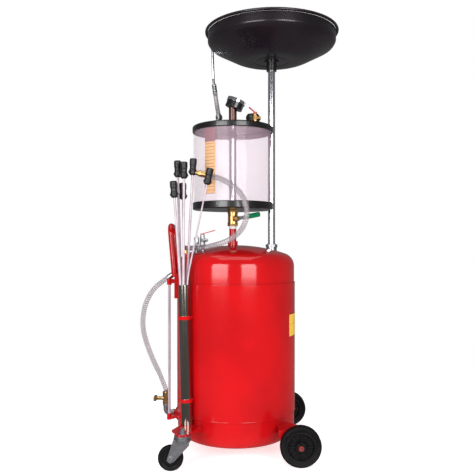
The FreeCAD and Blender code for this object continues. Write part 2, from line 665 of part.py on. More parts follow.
def build_riser():
    """Riser pipe through the tank's crown and the ball valve on it."""
    socket = rod(V(CHAMBER_X, 0, CROWN_Z - 12.0), UP, RISER_RADIUS + 5.0, 26.0).cut(TANK_ENVELOPE)
    tube = rod(V(CHAMBER_X, 0, CROWN_Z - 12.0), UP, RISER_RADIUS, RISER_RISE + 12.0).fuse(socket)
    bore = rod(V(CHAMBER_X, 0, CROWN_Z - 20.0), UP, RISER_BORE, RISER_RISE + 30.0)
    parts["riser_pipe"] = tube.cut(bore)

    base = V(CHAMBER_X, 0, RISER_TOP)
    barrel = rod(base + UP * 8.0, UP, 16.5, 40.0)
    ends = [hexagon(base, UP, 31.0, 13.0), hexagon(base + UP * 42.0, UP, 31.0, VALVE_LENGTH - 42.0)]
    neck = rod(base, UP, RISER_RADIUS + 1.0, VALVE_LENGTH + PLATE)
    bonnet = [rod(VALVE_CENTRE, STEM_DIRECTION, 10.0, 24.0),
              hexagon(VALVE_CENTRE, STEM_DIRECTION, 16.0, BONNET)]
    body = barrel.fuse(ends + [neck] + bonnet)
    body = body.cut(rod(base - UP, UP, RISER_BORE, VALVE_LENGTH + PLATE + 2.0))
    body = body.cut(Part.makeSphere(BALL_RADIUS + GAP, VALVE_CENTRE))
    body = body.cut(rod(VALVE_CENTRE, STEM_DIRECTION, VALVE_STEM + RUN_FIT, BONNET + 1.0))
    parts["chamber_valve_body"] = body


def build_chamber_lever():
    """Ball with its stem and nut, the sheet lever and the lever's sleeve."""
    ball = Part.makeSphere(BALL_RADIUS, VALVE_CENTRE)
    ball = ball.cut(rod(VALVE_CENTRE - LEVER_LEVEL * 20.0, LEVER_LEVEL, RISER_BORE - 1.0, 40.0))
    seat = BONNET + GAP
    stem = rod(VALVE_CENTRE + STEM_DIRECTION * (BALL_RADIUS - 2.5), STEM_DIRECTION, VALVE_STEM,
               seat + LEVER_SHEET + 4.0 - BALL_RADIUS + 2.5)
    nut = hexagon(VALVE_CENTRE + STEM_DIRECTION * (seat + LEVER_SHEET), STEM_DIRECTION, 13.0, 5.0)
    parts["chamber_valve_ball"] = ball.fuse([stem, nut])

    strip = block(V(0, -6.0, 0), V(LEVER_LENGTH - 6.0, 6.0, LEVER_SHEET))
    strip = strip.fuse(rod(CENTRE, UP, 9.0, LEVER_SHEET)).cut(rod(V(0, 0, -1.0), UP, VALVE_STEM, 10.0))
    sleeve = block(V(SLEEVE_START, -SLEEVE_HEIGHT / 2, -3.0),
                   V(LEVER_LENGTH, SLEEVE_HEIGHT / 2, SLEEVE_THICK - 3.0))
    sleeve = filleted(sleeve, 3.0, lambda edge: edge.Length > 20.0).cut(strip)
    origin = VALVE_CENTRE + STEM_DIRECTION * seat
    parts["chamber_valve_lever"] = aim(strip, origin, STEM_DIRECTION, LEVER_DIRECTION)
    parts["chamber_lever_sleeve"] = aim(sleeve, origin, STEM_DIRECTION, LEVER_DIRECTION)


def build_chamber():
    """Clear measuring tube between a base ring and a lid, sealed by two gaskets."""
    base = V(CHAMBER_X, 0, BASE_Z)
    ring_inner = CHAMBER_RADIUS + SLIP
    ring_outer = ring_inner + RING_SHEET
    tray = rod(base, UP, ring_outer, PLATE).fuse(pipe(base, UP, ring_outer, ring_inner, RING_HEIGHT))
    parts["chamber_base_ring"] = tray.cut(rod(base - UP, UP, RISER_RADIUS + 1.0, PLATE + 2.0))

    tube_low = base + UP * (PLATE + GASKET)
    bore = CHAMBER_RADIUS - CHAMBER_WALL
    parts["chamber_tube"] = pipe(tube_low, UP, CHAMBER_RADIUS, bore, CHAMBER_HEIGHT)
    seals = []
    for height in (BASE_Z + PLATE, LID_Z - GASKET):
        seals.append(pipe(V(CHAMBER_X, 0, height), UP, CHAMBER_RADIUS, bore, GASKET))
    parts["chamber_gaskets"] = Part.makeCompound(seals)

    cap_outer = ring_outer + 1.0
    lid = rod(V(CHAMBER_X, 0, LID_Z), UP, cap_outer, PLATE)
    lid = filleted(lid, 2.5, lambda edge: edge.BoundBox.ZMin > LID_Z + PLATE / 2
                   and edge.Length > 100.0)
    skirt = pipe(V(CHAMBER_X, 0, LID_TOP - LID_SKIRT), UP, cap_outer, ring_inner, LID_SKIRT - PLATE)
    parts["chamber_lid"] = lid.fuse(skirt).removeSplitter()

    foot = BASE_Z + PLATE
    wall = CENTRE_TUBE_RADIUS - 1.5
    dip = pipe(V(CHAMBER_X, 0, foot), UP, CENTRE_TUBE_RADIUS, wall, LID_Z - foot)
    for height in (foot + 41.0, LID_Z - 31.0):
        dip = dip.cut(rod(V(CHAMBER_X - 30.0, 0, height), RIGHT, 3.0, 60.0))
        dip = dip.cut(rod(V(CHAMBER_X, -30.0, height), BACK, 3.0, 60.0))
    parts["chamber_centre_tube"] = dip

    inner = CHAMBER_RADIUS - CHAMBER_WALL - 0.2
    strip = pipe(V(0, 0, foot + 43.0), UP, inner, inner - 0.8, 215.0)
    edges = [polar(2 * CHAMBER_RADIUS, angle, 0) for angle in (226.0, 235.0, 244.5)]
    wedge = [(0, 0)] + [(edge.x, edge.y) for edge in edges]
    strip = strip.common(slab(wedge, foot, LID_Z))
    strip.translate(CHAMBER_AXIS)
    parts["scale_strip"] = strip


# ---------------------------------------------------------------- lid fittings
GAUGE_CENTRE = V(CHAMBER_X + 8.0, 0, LID_TOP + GAUGE_LIFT)
GAUGE_AXIS = V(math.sin(math.radians(GAUGE_TILT)), 0, math.cos(math.radians(GAUGE_TILT)))
GAUGE_BACK = GAUGE_CENTRE - GAUGE_AXIS * (GAUGE_DEPTH / 2)
SPINDLE_RADIUS = 1.5


def build_gauge():
    """Vacuum gauge leaning on its post: case, bezel, lens and pointer."""
    foot = V(CHAMBER_X, 0, LID_TOP)
    post = rod(foot, UP, POST_RADIUS, GAUGE_LIFT - 5.0)
    post = post.cut(rod(GAUGE_BACK - GAUGE_AXIS * 1.5, GAUGE_AXIS, 70.0, 90.0))
    socket = rod(GAUGE_BACK - GAUGE_AXIS * 14.0, GAUGE_AXIS, 7.0, 14.0)
    nut = hexagon(foot, UP, 34.0, 8.0).cut(rod(foot, UP, POST_RADIUS, 9.0))
    parts["gauge_post"] = Part.makeCompound([post.cut(socket), nut])

    case = rod(GAUGE_BACK, GAUGE_AXIS, GAUGE_RADIUS, GAUGE_CASE)
    dial = GAUGE_BACK + GAUGE_AXIS * DIAL_DEPTH
    case = case.cut(rod(dial, GAUGE_AXIS, GAUGE_RADIUS - 3.0, GAUGE_CASE))
    case = case.fuse([socket, rod(dial, GAUGE_AXIS, SPINDLE_RADIUS, 7.0)])
    parts["gauge_case"] = case

    front = GAUGE_BACK + GAUGE_AXIS * GAUGE_CASE
    parts["gauge_lens"] = rod(front, GAUGE_AXIS, GAUGE_RADIUS - 0.2, 2.0)
    band = GAUGE_BACK + GAUGE_AXIS * (GAUGE_CASE - 6.0)
    bezel = rod(band, GAUGE_AXIS, BEZEL_RADIUS, GAUGE_DEPTH - GAUGE_CASE + 6.0)
    bezel = bezel.cut(rod(band, GAUGE_AXIS, GAUGE_RADIUS, 8.0))
    parts["gauge_bezel"] = bezel.cut(rod(band, GAUGE_AXIS, GAUGE_RADIUS - 3.5, 40.0))

    boss = pipe(V(0, 0, 2.0), UP, 4.0, SPINDLE_RADIUS + RUN_FIT, 3.0)
    needle = slab([(3.0, -1.2), (23.0, -0.5), (23.0, 0.5), (3.0, 1.2)], 3.0, 4.0)
    tail = slab([(-3.0, -2.6), (-12.0, -2.6), (-12.0, 2.6), (-3.0, 2.6)], 3.0, 4.0)
    parts["gauge_pointer"] = aim(boss.fuse([needle, tail]), dial, GAUGE_AXIS, V(-0.6, -0.8, 0.25))


VACUUM_VALVE = V(CHAMBER_X + 75.0, -57.0, LID_TOP)
MUFFLER_AT = V(CHAMBER_X + 68.0, -20.0, LID_TOP)
VACUUM_STEM = 2.5
WAND_INLET = V(CHAMBER_X - 0.565 * CHAMBER_RADIUS, 0.669 * CHAMBER_RADIUS, LID_TOP)


def build_vacuum_generator():
    """Air-driven vacuum generator: muffler, small ball valve and its lever."""
    muffler = rod(MUFFLER_AT, UP, 23.5, 42.0)
    muffler = filleted(muffler, 7.0, lambda edge: edge.BoundBox.ZMin > LID_TOP + 20.0
                       and edge.Length > 100.0)
    parts["muffler"] = muffler

    foot = rod(VACUUM_VALVE, UP, 7.0, 14.0)
    body = hexagon(VACUUM_VALVE + UP * 12.0, UP, 17.0, 16.0)
    neck = rod(VACUUM_VALVE + UP * 26.0, UP, 5.5, 9.0)
    link = rod(VACUUM_VALVE + UP * 20.0, MUFFLER_AT - VACUUM_VALVE, 5.0, 30.0)
    side = rod(VACUUM_VALVE + V(4.0, 0, 20.0), RIGHT, 6.0, 14.0)
    valve = foot.fuse([body, neck, link, side]).cut(muffler)
    bore = rod(VACUUM_VALVE + UP * 27.0, UP, VACUUM_STEM + RUN_FIT, 12.0)
    parts["vacuum_valve_body"] = valve.cut(bore)

    stem = rod(VACUUM_VALVE + UP * (27.0 + GAP), UP, VACUUM_STEM, 14.0)
    cap = rod(VACUUM_VALVE + UP * (35.0 + GAP), UP, 6.0, 5.0)
    arm = block(V(0, -4.0, -1.5), V(27.0, 4.0, 1.5))
    arm = filleted(arm, 3.5, lambda edge: abs(edge.Length - 3.0) < 0.01
                   and edge.BoundBox.XMin > 20.0)
    arm = aim(arm, VACUUM_VALVE + UP * 39.0, V(0.62, 0.1, 0.78), V(-0.78, -0.1, 0.62))
    arm = arm.cut(rod(VACUUM_VALVE, UP, 20.0, 35.0 + GAP))
    parts["vacuum_valve_lever"] = stem.fuse([cap, arm])

    out = heading(WAND_ROUTE, True)
    tip = INLET_MOUTH
    elbow = bent_rod([WAND_INLET, WAND_INLET + V(2.0, 0, 30.0), tip - out * 32.0, tip], 10.0, 16.0)
    flange = rod(WAND_INLET, UP, 15.0, 6.0)
    collar = rod(tip - out * 10.0, out, 12.0, 10.0)
    below = rod(WAND_INLET - UP * 5.0, UP, 30.0, 5.0)
    parts["wand_inlet_elbow"] = elbow.fuse([flange, collar]).cut(below)


# ---------------------------------------------------------------- fittings on the tank's dome
AIR_STEM = 2.5
PLUG_RADIUS = 5.5
PLUG_LENGTH = 18.0
PLUG_DIRECTION = V(0.45, -0.893, 0)
AIR_VALVE_TOP = 52.0      # above the dome


def build_dome_fittings():
    """Air valve with its plug, safety valve, suction elbow and the pole's gland."""
    foot = dome_point(*AIR_VALVE_PORT)
    body = rod(foot - UP * 10.0, UP, 6.0, 24.0).fuse([
        hexagon(foot + UP * 11.0, UP, 17.0, 10.0), rod(foot + UP * 20.0, UP, 9.0, 24.0),
        rod(foot + UP * 43.0, UP, 7.0, AIR_VALVE_TOP - 43.0)])
    middle = foot + UP * 34.0
    side = hexagon(middle + PLUG_DIRECTION * 5.0, PLUG_DIRECTION, 14.0, 12.0)
    plug = rod(middle + PLUG_DIRECTION * 16.0, PLUG_DIRECTION, PLUG_RADIUS, PLUG_LENGTH)
    lip = rod(middle + PLUG_DIRECTION * (15.0 + PLUG_LENGTH), PLUG_DIRECTION, PLUG_RADIUS - 1.2, 5.0)
    body = body.fuse([side, plug, lip]).cut(TANK_ENVELOPE)
    body = body.cut(rod(foot + UP * (AIR_VALVE_TOP - 8.0), UP, AIR_STEM + RUN_FIT, 20.0))
    parts["air_valve_body"] = body.removeSplitter()

    stem = rod(foot + UP * (AIR_VALVE_TOP - 8.0 + GAP), UP, AIR_STEM, 12.0)
    cap = rod(foot + UP * (AIR_VALVE_TOP + GAP), UP, 6.0, 4.0)
    arm = block(V(0, -4.0, -1.3), V(43.0, 4.0, 1.3))
    arm = aim(arm, foot + UP * (AIR_VALVE_TOP + 3.0), V(-0.27, 0, 0.96), V(0.96, 0, 0.27))
    parts["air_valve_lever"] = stem.fuse([cap, arm])

    foot = dome_point(*SAFETY_PORT)
    safety = rod(foot - UP * 10.0, UP, 4.5, 36.0).fuse([
        hexagon(foot + UP * 24.0, UP, 15.0, 8.0), rod(foot + UP * 32.0, UP, 8.0, 16.0),
        rod(foot + UP * 48.0, UP, 4.0, 6.0)])
    parts["safety_valve"] = safety.cut(TANK_ENVELOPE)

    root = dome_point(*SUCTION_PORT)
    start = SUCTION_MOUTH
    out = heading(SUCTION_ROUTE, True)
    knee = V(root.x, root.y, start.z)
    reach = max(9.0, (start - knee).dot(out))
    riser = rod(root + UP * 6.0, UP, 7.0, start.z - root.z - 6.0)
    knob = Part.makeSphere(9.0, knee)
    tail = rod(knee, out, 8.0, reach)
    parts["suction_elbow"] = riser.fuse([knob, tail])

    foot = dome_point(*POLE_PORT)
    gland = rod(foot - UP * 15.0, UP, POLE_RADIUS + 6.0, 29.0)
    gland = gland.fuse(hexagon(foot + UP * 14.0, UP, 36.0, 11.0))
    gland = gland.fuse(rod(foot + UP * 25.0, UP, POLE_RADIUS + 3.0, 3.0))
    gland = gland.cut(TANK_ENVELOPE).cut(rod(foot - UP * 30.0, UP, POLE_RADIUS + RUN_FIT, 90.0))
    parts["pole_gland"] = gland


# ---------------------------------------------------------------- handle side fittings
SIGHT_X = -(TANK_RADIUS + 25.0)
SIGHT_Y = -25.0
SIGHT_RADIUS = 4.5
SIGHT_LOW = LOWER_SEAM_Z - 23.0
DRAIN_X = -(TANK_RADIUS + 39.0)
DRAIN_VALVE_Z = DRAIN_Z + 49.0
DRAIN_STEM = 3.0


def sight_fitting(z, inner_z):
    """Angle fitting that ties one end of the sight tube to the tank."""
    low = min(z, inner_z) - 8.0
    arm = rod(V(SIGHT_X, SIGHT_Y, z), RIGHT, 5.0, 45.0)
    cup = rod(V(SIGHT_X, SIGHT_Y, low), UP, 8.0, abs(z - inner_z) + 16.0)
    nut = hexagon(V(SIGHT_X + 6.0, SIGHT_Y, z), RIGHT, 13.0, 10.0)
    return arm.fuse([cup, nut]).cut(TANK_ENVELOPE)


def build_side_fittings():
    """Sight tube, drain elbow with its ball valve, and the return fitting."""
    length = UPPER_SEAM_Z - SIGHT_LOW
    bar = rod(V(SIGHT_X, SIGHT_Y, SIGHT_LOW), UP, SIGHT_RADIUS, length)
    parts["sight_tube"] = bar.cut(rod(V(SIGHT_X, SIGHT_Y, SIGHT_LOW), UP, SIGHT_RADIUS - 1.3, length))
    ends = [sight_fitting(SIGHT_LOW - 4.0, SIGHT_LOW), sight_fitting(UPPER_SEAM_Z + 4.0, UPPER_SEAM_Z)]
    parts["sight_fittings"] = Part.makeCompound([end.cut(bar) for end in ends])

    port = V(-(TANK_RADIUS + PORT_OUT), DRAIN_Y, DRAIN_Z)
    valve_foot = V(DRAIN_X, DRAIN_Y, DRAIN_VALVE_Z - 18.0)
    knee = V(DRAIN_X, DRAIN_Y, DRAIN_Z)
    elbow = bent_rod([port, knee, valve_foot], 10.0, 13.0)
    beads = [rod(port, LEFT, 12.0, 6.0), rod(valve_foot, DOWN, 12.0, 6.0)]
    parts["drain_elbow"] = elbow.fuse(beads)

    centre = V(DRAIN_X, DRAIN_Y, DRAIN_VALVE_Z)
    end = DRAIN_MOUTH
    out = heading(DISCHARGE_ROUTE, False)
    body = rod(valve_foot, UP, 10.5, 36.0).fuse([
        hexagon(valve_foot, UP, 22.0, 9.0), hexagon(centre + UP * 8.0, UP, 22.0, 9.0),
        rod(centre + UP * 16.0, UP, 13.0, 6.0), rod(centre, LEFT, 7.0, 15.0), rod(end, out, 9.0, 12.0)])
    body = body.cut(rod(centre - RIGHT * 6.0, LEFT, DRAIN_STEM + RUN_FIT, 20.0))
    parts["drain_valve_body"] = body

    stem = rod(centre + LEFT * (6.0 + GAP), LEFT, DRAIN_STEM, 28.0)
    boss = rod(centre + LEFT * (15.0 + GAP), LEFT, 6.0, 18.0)
    wing = block(centre + V(-42.0, -20.0, -6.0), centre + V(-33.0, 20.0, 6.0))
    wing = filleted(wing, 4.0, lambda edge: edge.Length < 13.0 and edge.Length > 11.0)
    parts["drain_valve_handle"] = stem.fuse([boss, wing])

    start = RETURN_MOUTH
    back = heading(DISCHARGE_ROUTE, True) * -1.0
    knee = start + back * 28.0
    boss_end = V(-(TANK_RADIUS + PORT_OUT - 4.0), DRAIN_Y, RETURN_Z)
    fitting = rod(start, back, 9.5, 28.0).fuse([Part.makeSphere(9.8, knee), rod(boss_end, LEFT, 9.0, 6.0)])
    parts["return_fitting"] = fitting.cut(side_port(RETURN_Z, PORT_OUT - 4.0)).cut(TANK_ENVELOPE)


# ---------------------------------------------------------------- ends that the hoses meet
RIM_OUTSIDE = BOWL_RADIUS + 2 * BEAD_RADIUS - BOWL_SHEET / 2
WAND_FOOT = polar(RIM_OUTSIDE + WAND_OUT, WAND_ANGLE, RIM_Z) + POLE_AXIS
SUCTION_MOUTH = dome_point(*SUCTION_PORT) + V(9.728, -9.919, 22.729)
RETURN_MOUTH = V(-(TANK_RADIUS + 33.0), DRAIN_Y, RETURN_Z - 18.0)
DRAIN_MOUTH = V(DRAIN_X - 1.0, DRAIN_Y, DRAIN_VALVE_Z + 26.0)
INLET_MOUTH = WAND_INLET + V(25.0, 28.0, 62.0)
SLEEVE_FOOT = WAND_FOOT + V(12.130, -21.984, -191.0)


# ---------------------------------------------------------------- bowl, pole and wand
def bowl_outline(inset):
    """Right half of the bowl's outside, or of its inside when inset by the sheet."""
    cone_low = BOWL_FLOOR_RADIUS - inset * 0.5
    cone_high = BOWL_RADIUS - 8.0 - inset
    return [(cone_low, inset), (cone_high, 53.0 + inset * 0.4), (BOWL_RADIUS - 2.0 - inset, 59.0),
            (BOWL_RADIUS - inset, 66.0)]


def build_bowl():
    """Spun catch bowl with a rolled rim, its strainer, clamp nut and pole."""
    bottom = V(POLE_AXIS.x, POLE_AXIS.y, BOWL_Z)
    bore = POLE_RADIUS + RUN_FIT
    outside = lathe([(bore, 0)] + bowl_outline(0) + [(BOWL_RADIUS, BOWL_DEPTH), (bore, BOWL_DEPTH)])
    inside = lathe([(0, BOWL_SHEET)] + bowl_outline(BOWL_SHEET)
                   + [(BOWL_RADIUS - BOWL_SHEET, BOWL_DEPTH + 1.0), (0, BOWL_DEPTH + 1.0)])
    bead_line = BOWL_RADIUS + BEAD_RADIUS - BOWL_SHEET / 2
    bead = Part.makeTorus(bead_line, BEAD_RADIUS, V(0, 0, BOWL_DEPTH - 1.0))
    bowl = outside.cut(inside).fuse(bead)
    bowl.translate(bottom)
    parts["catch_bowl"] = bowl

    disc = lathe([(0, 7.0), (14.0, 6.0), (34.0, BOWL_SHEET), (36.0, BOWL_SHEET), (36.0, BOWL_SHEET + 1.0),
                  (34.5, BOWL_SHEET + 1.0), (14.0, 7.2), (0, 8.2)])
    for ring, count in ((11.0, 6), (19.0, 10), (27.0, 14)):
        for k in range(count):
            disc = disc.cut(rod(polar(ring, 360.0 * k / count, 0), UP, 2.0, 12.0))
    disc.translate(bottom)
    parts["bowl_strainer"] = disc

    nut = pipe(bottom - UP * 34.0, UP, 18.0, bore, 34.0)
    flange = pipe(bottom - UP * 5.0, UP, 25.0, bore, 5.0)
    parts["bowl_clamp_nut"] = nut.fuse(flange).removeSplitter()

    pole_low = bottom + UP * (BOWL_SHEET - POLE_LENGTH)
    parts["drain_pole"] = pipe(pole_low, UP, POLE_RADIUS, POLE_RADIUS - POLE_WALL, POLE_LENGTH)


def build_wand():
    """Rigid wand on its hose: crimped sleeve, pipe and the hook over the bowl's rim."""
    end = SLEEVE_FOOT
    out = heading(WAND_ROUTE, False)
    sleeve_end = end + out * 46.0
    sleeve = rod(end, out, WAND_HOSE_RADIUS, 46.0)
    parts["wand_sleeve"] = sleeve
    inward = polar(-1.0, WAND_ANGLE, 0)
    low = WAND_FOOT - UP * 10.0
    top = WAND_FOOT + UP * HOOK_RADIUS
    over = top + inward * (2 * HOOK_RADIUS + 0.2)
    straight = bend_path([sleeve_end, sleeve_end + out * 22.0, low, top, over, over - UP * 28.0],
                         lambda before, after, half: HOOK_RADIUS)[0]
    parts["wand_pipe"] = swept(straight, sleeve_end, out, WAND_RADIUS)


def build_hoses():
    """The three free hoses and the coupling on the suction hose."""
    hose("suction_hose", SUCTION_ROUTE, SUCTION_HOSE_RADIUS)
    hose("discharge_hose", DISCHARGE_ROUTE, DISCHARGE_HOSE_RADIUS)
    hose("wand_hose", WAND_ROUTE, WAND_HOSE_RADIUS)
    end = SUCTION_ROUTE[-1]
    out = heading(SUCTION_ROUTE, False)
    ferrule = rod(end, out, 10.0, 14.0)
    coupling = hexagon(end + out * 14.0, out, 17.0, 8.0).fuse(rod(end + out * 22.0, out, 7.5, 20.0))
    coupling = coupling.cut(parts["probe_grips"])
    keep = max(coupling.Solids, key=lambda solid: solid.Volume)
    parts["suction_coupling"] = Part.makeCompound([ferrule, keep])


# ---------------------------------------------------------------- whole machine
def main():
    """Builds every piece, shifts the machine to its origin and writes one STEP per node."""
    build_tank()
    build_handle()
    build_axle_wheels()
    build_casters()
    build_probes()
    build_riser()
    build_chamber_lever()
    build_chamber()
    build_gauge()
    build_vacuum_generator()
    build_dome_fittings()
    build_side_fittings()
    build_bowl()
    build_wand()
    build_hoses()

    box = FreeCAD.BoundBox()
    for name, shape in parts.items():
        if name not in CORD_NODES:
            box.add(shape.optimalBoundingBox(False, False))
    shift = V(-box.Center.x, -box.Center.y, -box.ZMin)
    os.makedirs("parts", exist_ok=True)
    for name, shape in parts.items():
        placed = shape.copy()
        placed.translate(shift)
        placed.exportStep("parts/" + name + ".step")
    print("nodes %d, size %.1f x %.1f x %.1f" % (len(parts), box.XLength, box.YLength, box.ZLength))
    print("shift %.4f %.4f %.4f" % (shift.x, shift.y, shift.z))


main()
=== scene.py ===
"""Looks of a wheeled waste-oil drainer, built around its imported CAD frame.

Lengths are in metres, in the row's own frame: +Z up along the tank, +X towards the axle wheels.
Every place is worked out from the frame's nodes, and a new piece's place is in its mesh.
"""

import logging
import math
from dataclasses import dataclass
from enum import Enum

import bmesh
import bpy
import numpy as np
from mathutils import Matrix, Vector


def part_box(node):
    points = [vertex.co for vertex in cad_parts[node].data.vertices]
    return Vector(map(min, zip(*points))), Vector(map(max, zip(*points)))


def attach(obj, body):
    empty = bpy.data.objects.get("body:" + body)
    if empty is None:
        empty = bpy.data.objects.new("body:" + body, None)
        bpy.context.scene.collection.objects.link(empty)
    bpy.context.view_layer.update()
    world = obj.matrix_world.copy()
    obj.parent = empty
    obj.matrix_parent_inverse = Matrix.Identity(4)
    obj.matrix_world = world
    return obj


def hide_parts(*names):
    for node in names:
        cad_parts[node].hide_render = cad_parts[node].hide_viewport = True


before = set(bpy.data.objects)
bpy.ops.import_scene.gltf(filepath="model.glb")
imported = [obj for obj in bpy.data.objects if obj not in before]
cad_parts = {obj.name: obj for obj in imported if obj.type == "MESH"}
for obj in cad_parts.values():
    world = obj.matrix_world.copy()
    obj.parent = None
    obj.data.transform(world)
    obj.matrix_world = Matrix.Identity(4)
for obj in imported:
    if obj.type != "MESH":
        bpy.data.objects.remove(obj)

LOG = logging.getLogger("drainer")
Array = np.ndarray
Colour = tuple[float, float, float]
Vector3 = tuple[float, float, float]

TURN = 2.0 * math.pi
AROUND = 96                # faces round a large turned piece
MM = 0.001
MERGE = 1e-6               # vertices nearer than this are one
SHARP = 32.0               # edges sharper than this many degrees stay sharp


def middle(node: str) -> Array:
    """Middle of a CAD node's box."""
    low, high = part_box(node)
    return (np.array(low) + np.array(high)) / 2


def bottom(node: str) -> float:
    """Lowest height of a CAD node."""
    return float(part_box(node)[0].z)


def top(node: str) -> float:
    """Highest height of a CAD node."""
    return float(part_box(node)[1].z)


def plan_radius(node: str) -> float:
    """Half a CAD node's width along Y."""
    low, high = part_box(node)
    return (high.y - low.y) / 2


TANK = middle("tank_shell") * (1, 1, 0)


def from_tank(x: float, y: float, z: float) -> Array:
    """A point given in millimetres about the tank's axis."""
    return TANK + np.array((x, y, z)) * MM


def placed(name: str, data: bpy.types.ID) -> bpy.types.Object:
    """A new object in the scene that shows this data."""
    piece = bpy.data.objects.new(name, data)
    bpy.context.scene.collection.objects.link(piece)
    return piece


def preset(node: bpy.types.Node, values: dict) -> None:
    """Sets a shader node's inputs by name or number."""
    for socket, value in values.items():
        node.inputs[socket].default_value = value


def connect(tree: bpy.types.NodeTree, links: list) -> None:
    """Joins nodes, each link given as (node, output, node, input)."""
    for source, output, target, socket in links:
        tree.links.new(source.outputs[output], target.inputs[socket])


def oblong(start: float, end: float, width: float) -> Array:
    """Corners of an oblong from start to end along x, as wide as width about y = 0."""
    return np.array([(start, -width / 2), (end, -width / 2), (end, width / 2), (start, width / 2)])


# ------------------------------------------------------------------ surfaces
def unit(vector: Array) -> Array:
    """The vectors' directions, along the last axis."""
    return vector / np.linalg.norm(vector, axis=-1, keepdims=True)


def basis(axis: Array, hint: Vector3 = (1.0, 0.0, 0.0)) -> tuple[Array, Array, Array]:
    """Three directions square to each other.

    Args:
        axis: The third direction.
        hint: Roughly the first direction; it may not lie along axis.

    Returns:
        Across, along and axis: hint without its share along axis, their cross product, and axis.
    """
    third = unit(np.asarray(axis, float))
    first = np.asarray(hint, float) - third * np.dot(hint, third)
    if np.linalg.norm(first) < 1e-6:
        first = np.cross(third, (0.0, 1.0, 0.0))
    first = unit(first)
    return first, np.cross(third, first), third


def make_object(name: str, points: Array, faces: list, smooth_angle: float = SHARP) -> bpy.types.Object:
    """Puts points and faces in a mesh, merges doubles and turns every normal outwards.

    Args:
        name: The piece's name.
        points: Vertices, n by 3.
        faces: Vertex numbers of each face.
        smooth_angle: Edges sharper than this many degrees stay sharp.

    Returns:
        The new object, at the origin.
    """
    mesh = bpy.data.meshes.new(name)
    mesh.from_pydata(points.reshape(-1, 3).tolist(), [], faces)
    work = bmesh.new()
    work.from_mesh(mesh)
    bmesh.ops.remove_doubles(work, verts=work.verts, dist=MERGE)
    bmesh.ops.recalc_face_normals(work, faces=work.faces)
    work.to_mesh(mesh)
    work.free()
    mesh.shade_smooth()
    mesh.set_sharp_from_angle(angle=math.radians(smooth_angle))
    return placed(name, mesh)


def grid_faces(rows: int, columns: int, wrap_rows: bool, wrap_columns: bool) -> list:
    """Vertex numbers of the quads of a grid whose vertices run along its rows."""
    numbers = np.arange(rows * columns).reshape(rows, columns)
    if wrap_rows:
        numbers = np.vstack([numbers, numbers[:1]])
    if wrap_columns:
        numbers = np.hstack([numbers, numbers[:, :1]])
    corners = (numbers[:-1, :-1], numbers[1:, :-1], numbers[1:, 1:], numbers[:-1, 1:])
    return np.stack(corners, axis=-1).reshape(-1, 4).tolist()


def turned(name: str, outline: Array, origin: Array, axis: Vector3 = (0.0, 0.0, 1.0),
           around: int = AROUND, ring: bool = False) -> bpy.types.Object:
    """Turns an outline about an axis.

    A vertex at outline point (r, h) and angle a is origin + r (cos a u + sin a v) + h w, where u, v
    and w are the axis's three directions.

    Args:
        name: The piece's name.
        outline: (radius, height) points; they start and end on the axis unless ring is set.
        origin: Where height is zero.
        axis: Direction of growing height.
        around: Number of faces in one turn.
        ring: Whether the outline is a closed loop off the axis.

    Returns:
        The new object.
    """
    across, along, up = basis(np.array(axis))
    angles = np.linspace(0.0, TURN, around, endpoint=False)
    spokes = np.cos(angles)[:, None] * across + np.sin(angles)[:, None] * along
    points = origin + outline[:, 0][None, :, None] * spokes[:, None, :] + outline[:, 1][None, :, None] * up
    return make_object(name, points, grid_faces(around, len(outline), True, ring))


def rounded(corners: list, radii: list, steps: int = 5, closed: bool = True) -> Array:
    """An outline with its corners rounded by arcs.

    Each corner c with directions a and b to its neighbours becomes the arc that touches both sides:
    its centre lies on the halving line, radius / sin(half angle) from c.

    Args:
        corners: Points in a plane.
        radii: One radius per corner; 0 keeps the corner sharp.
        steps: Spans of each arc.
        closed: Whether the last corner joins the first.

    Returns:
        The outline's points.
    """
    points = np.array(corners, float)
    before = unit(np.roll(points, 1, axis=0) - points)
    after = unit(np.roll(points, -1, axis=0) - points)
    pieces = []
    for k, (corner, radius) in enumerate(zip(points, radii)):
        if radius <= 0 or (not closed and k in (0, len(points) - 1)):
            pieces.append(corner[None])
            continue
        half = math.acos(float(np.clip(np.dot(before[k], after[k]), -1, 1))) / 2
        centre = corner + unit(before[k] + after[k]) * radius / math.sin(half)
        start = corner + before[k] * radius / math.tan(half) - centre
        end = corner + after[k] * radius / math.tan(half) - centre
        share = np.linspace(0.0, 1.0, steps + 1)[:, None]
        pieces.append(centre + unit(start * (1 - share) + end * share) * radius)
    return np.vstack(pieces)


def frames(path: Array) -> tuple[Array, Array, Array]:
    """Directions across, out of the plane's side and along a path, at every point.

    The side direction is the tangent crossed with the normal of the plane nearest to the path, so
    the frames don't twist.

    Args:
        path: Points, n by 3.

    Returns:
        Two directions square to the path, and the tangents.
    """
    tangent = unit(np.gradient(path, axis=0))
    spread = path - path.mean(axis=0)
    normal = np.linalg.svd(spread, full_matrices=False)[2][-1]
    side = unit(np.cross(tangent, normal))
    return side, np.cross(side, tangent), tangent


def spaced(path: Array, count: int) -> Array:
    """The same path with points evenly spaced along it."""
    steps = np.linalg.norm(np.diff(path, axis=0), axis=1)
    run = np.concatenate([[0.0], np.cumsum(steps)])
    wanted = np.linspace(0.0, run[-1], count)
    return np.stack([np.interp(wanted, run, path[:, k]) for k in range(3)], axis=1)


def length_of(path: Array) -> float:
    """Length of a path."""
    return float(np.linalg.norm(np.diff(path, axis=0), axis=1).sum())


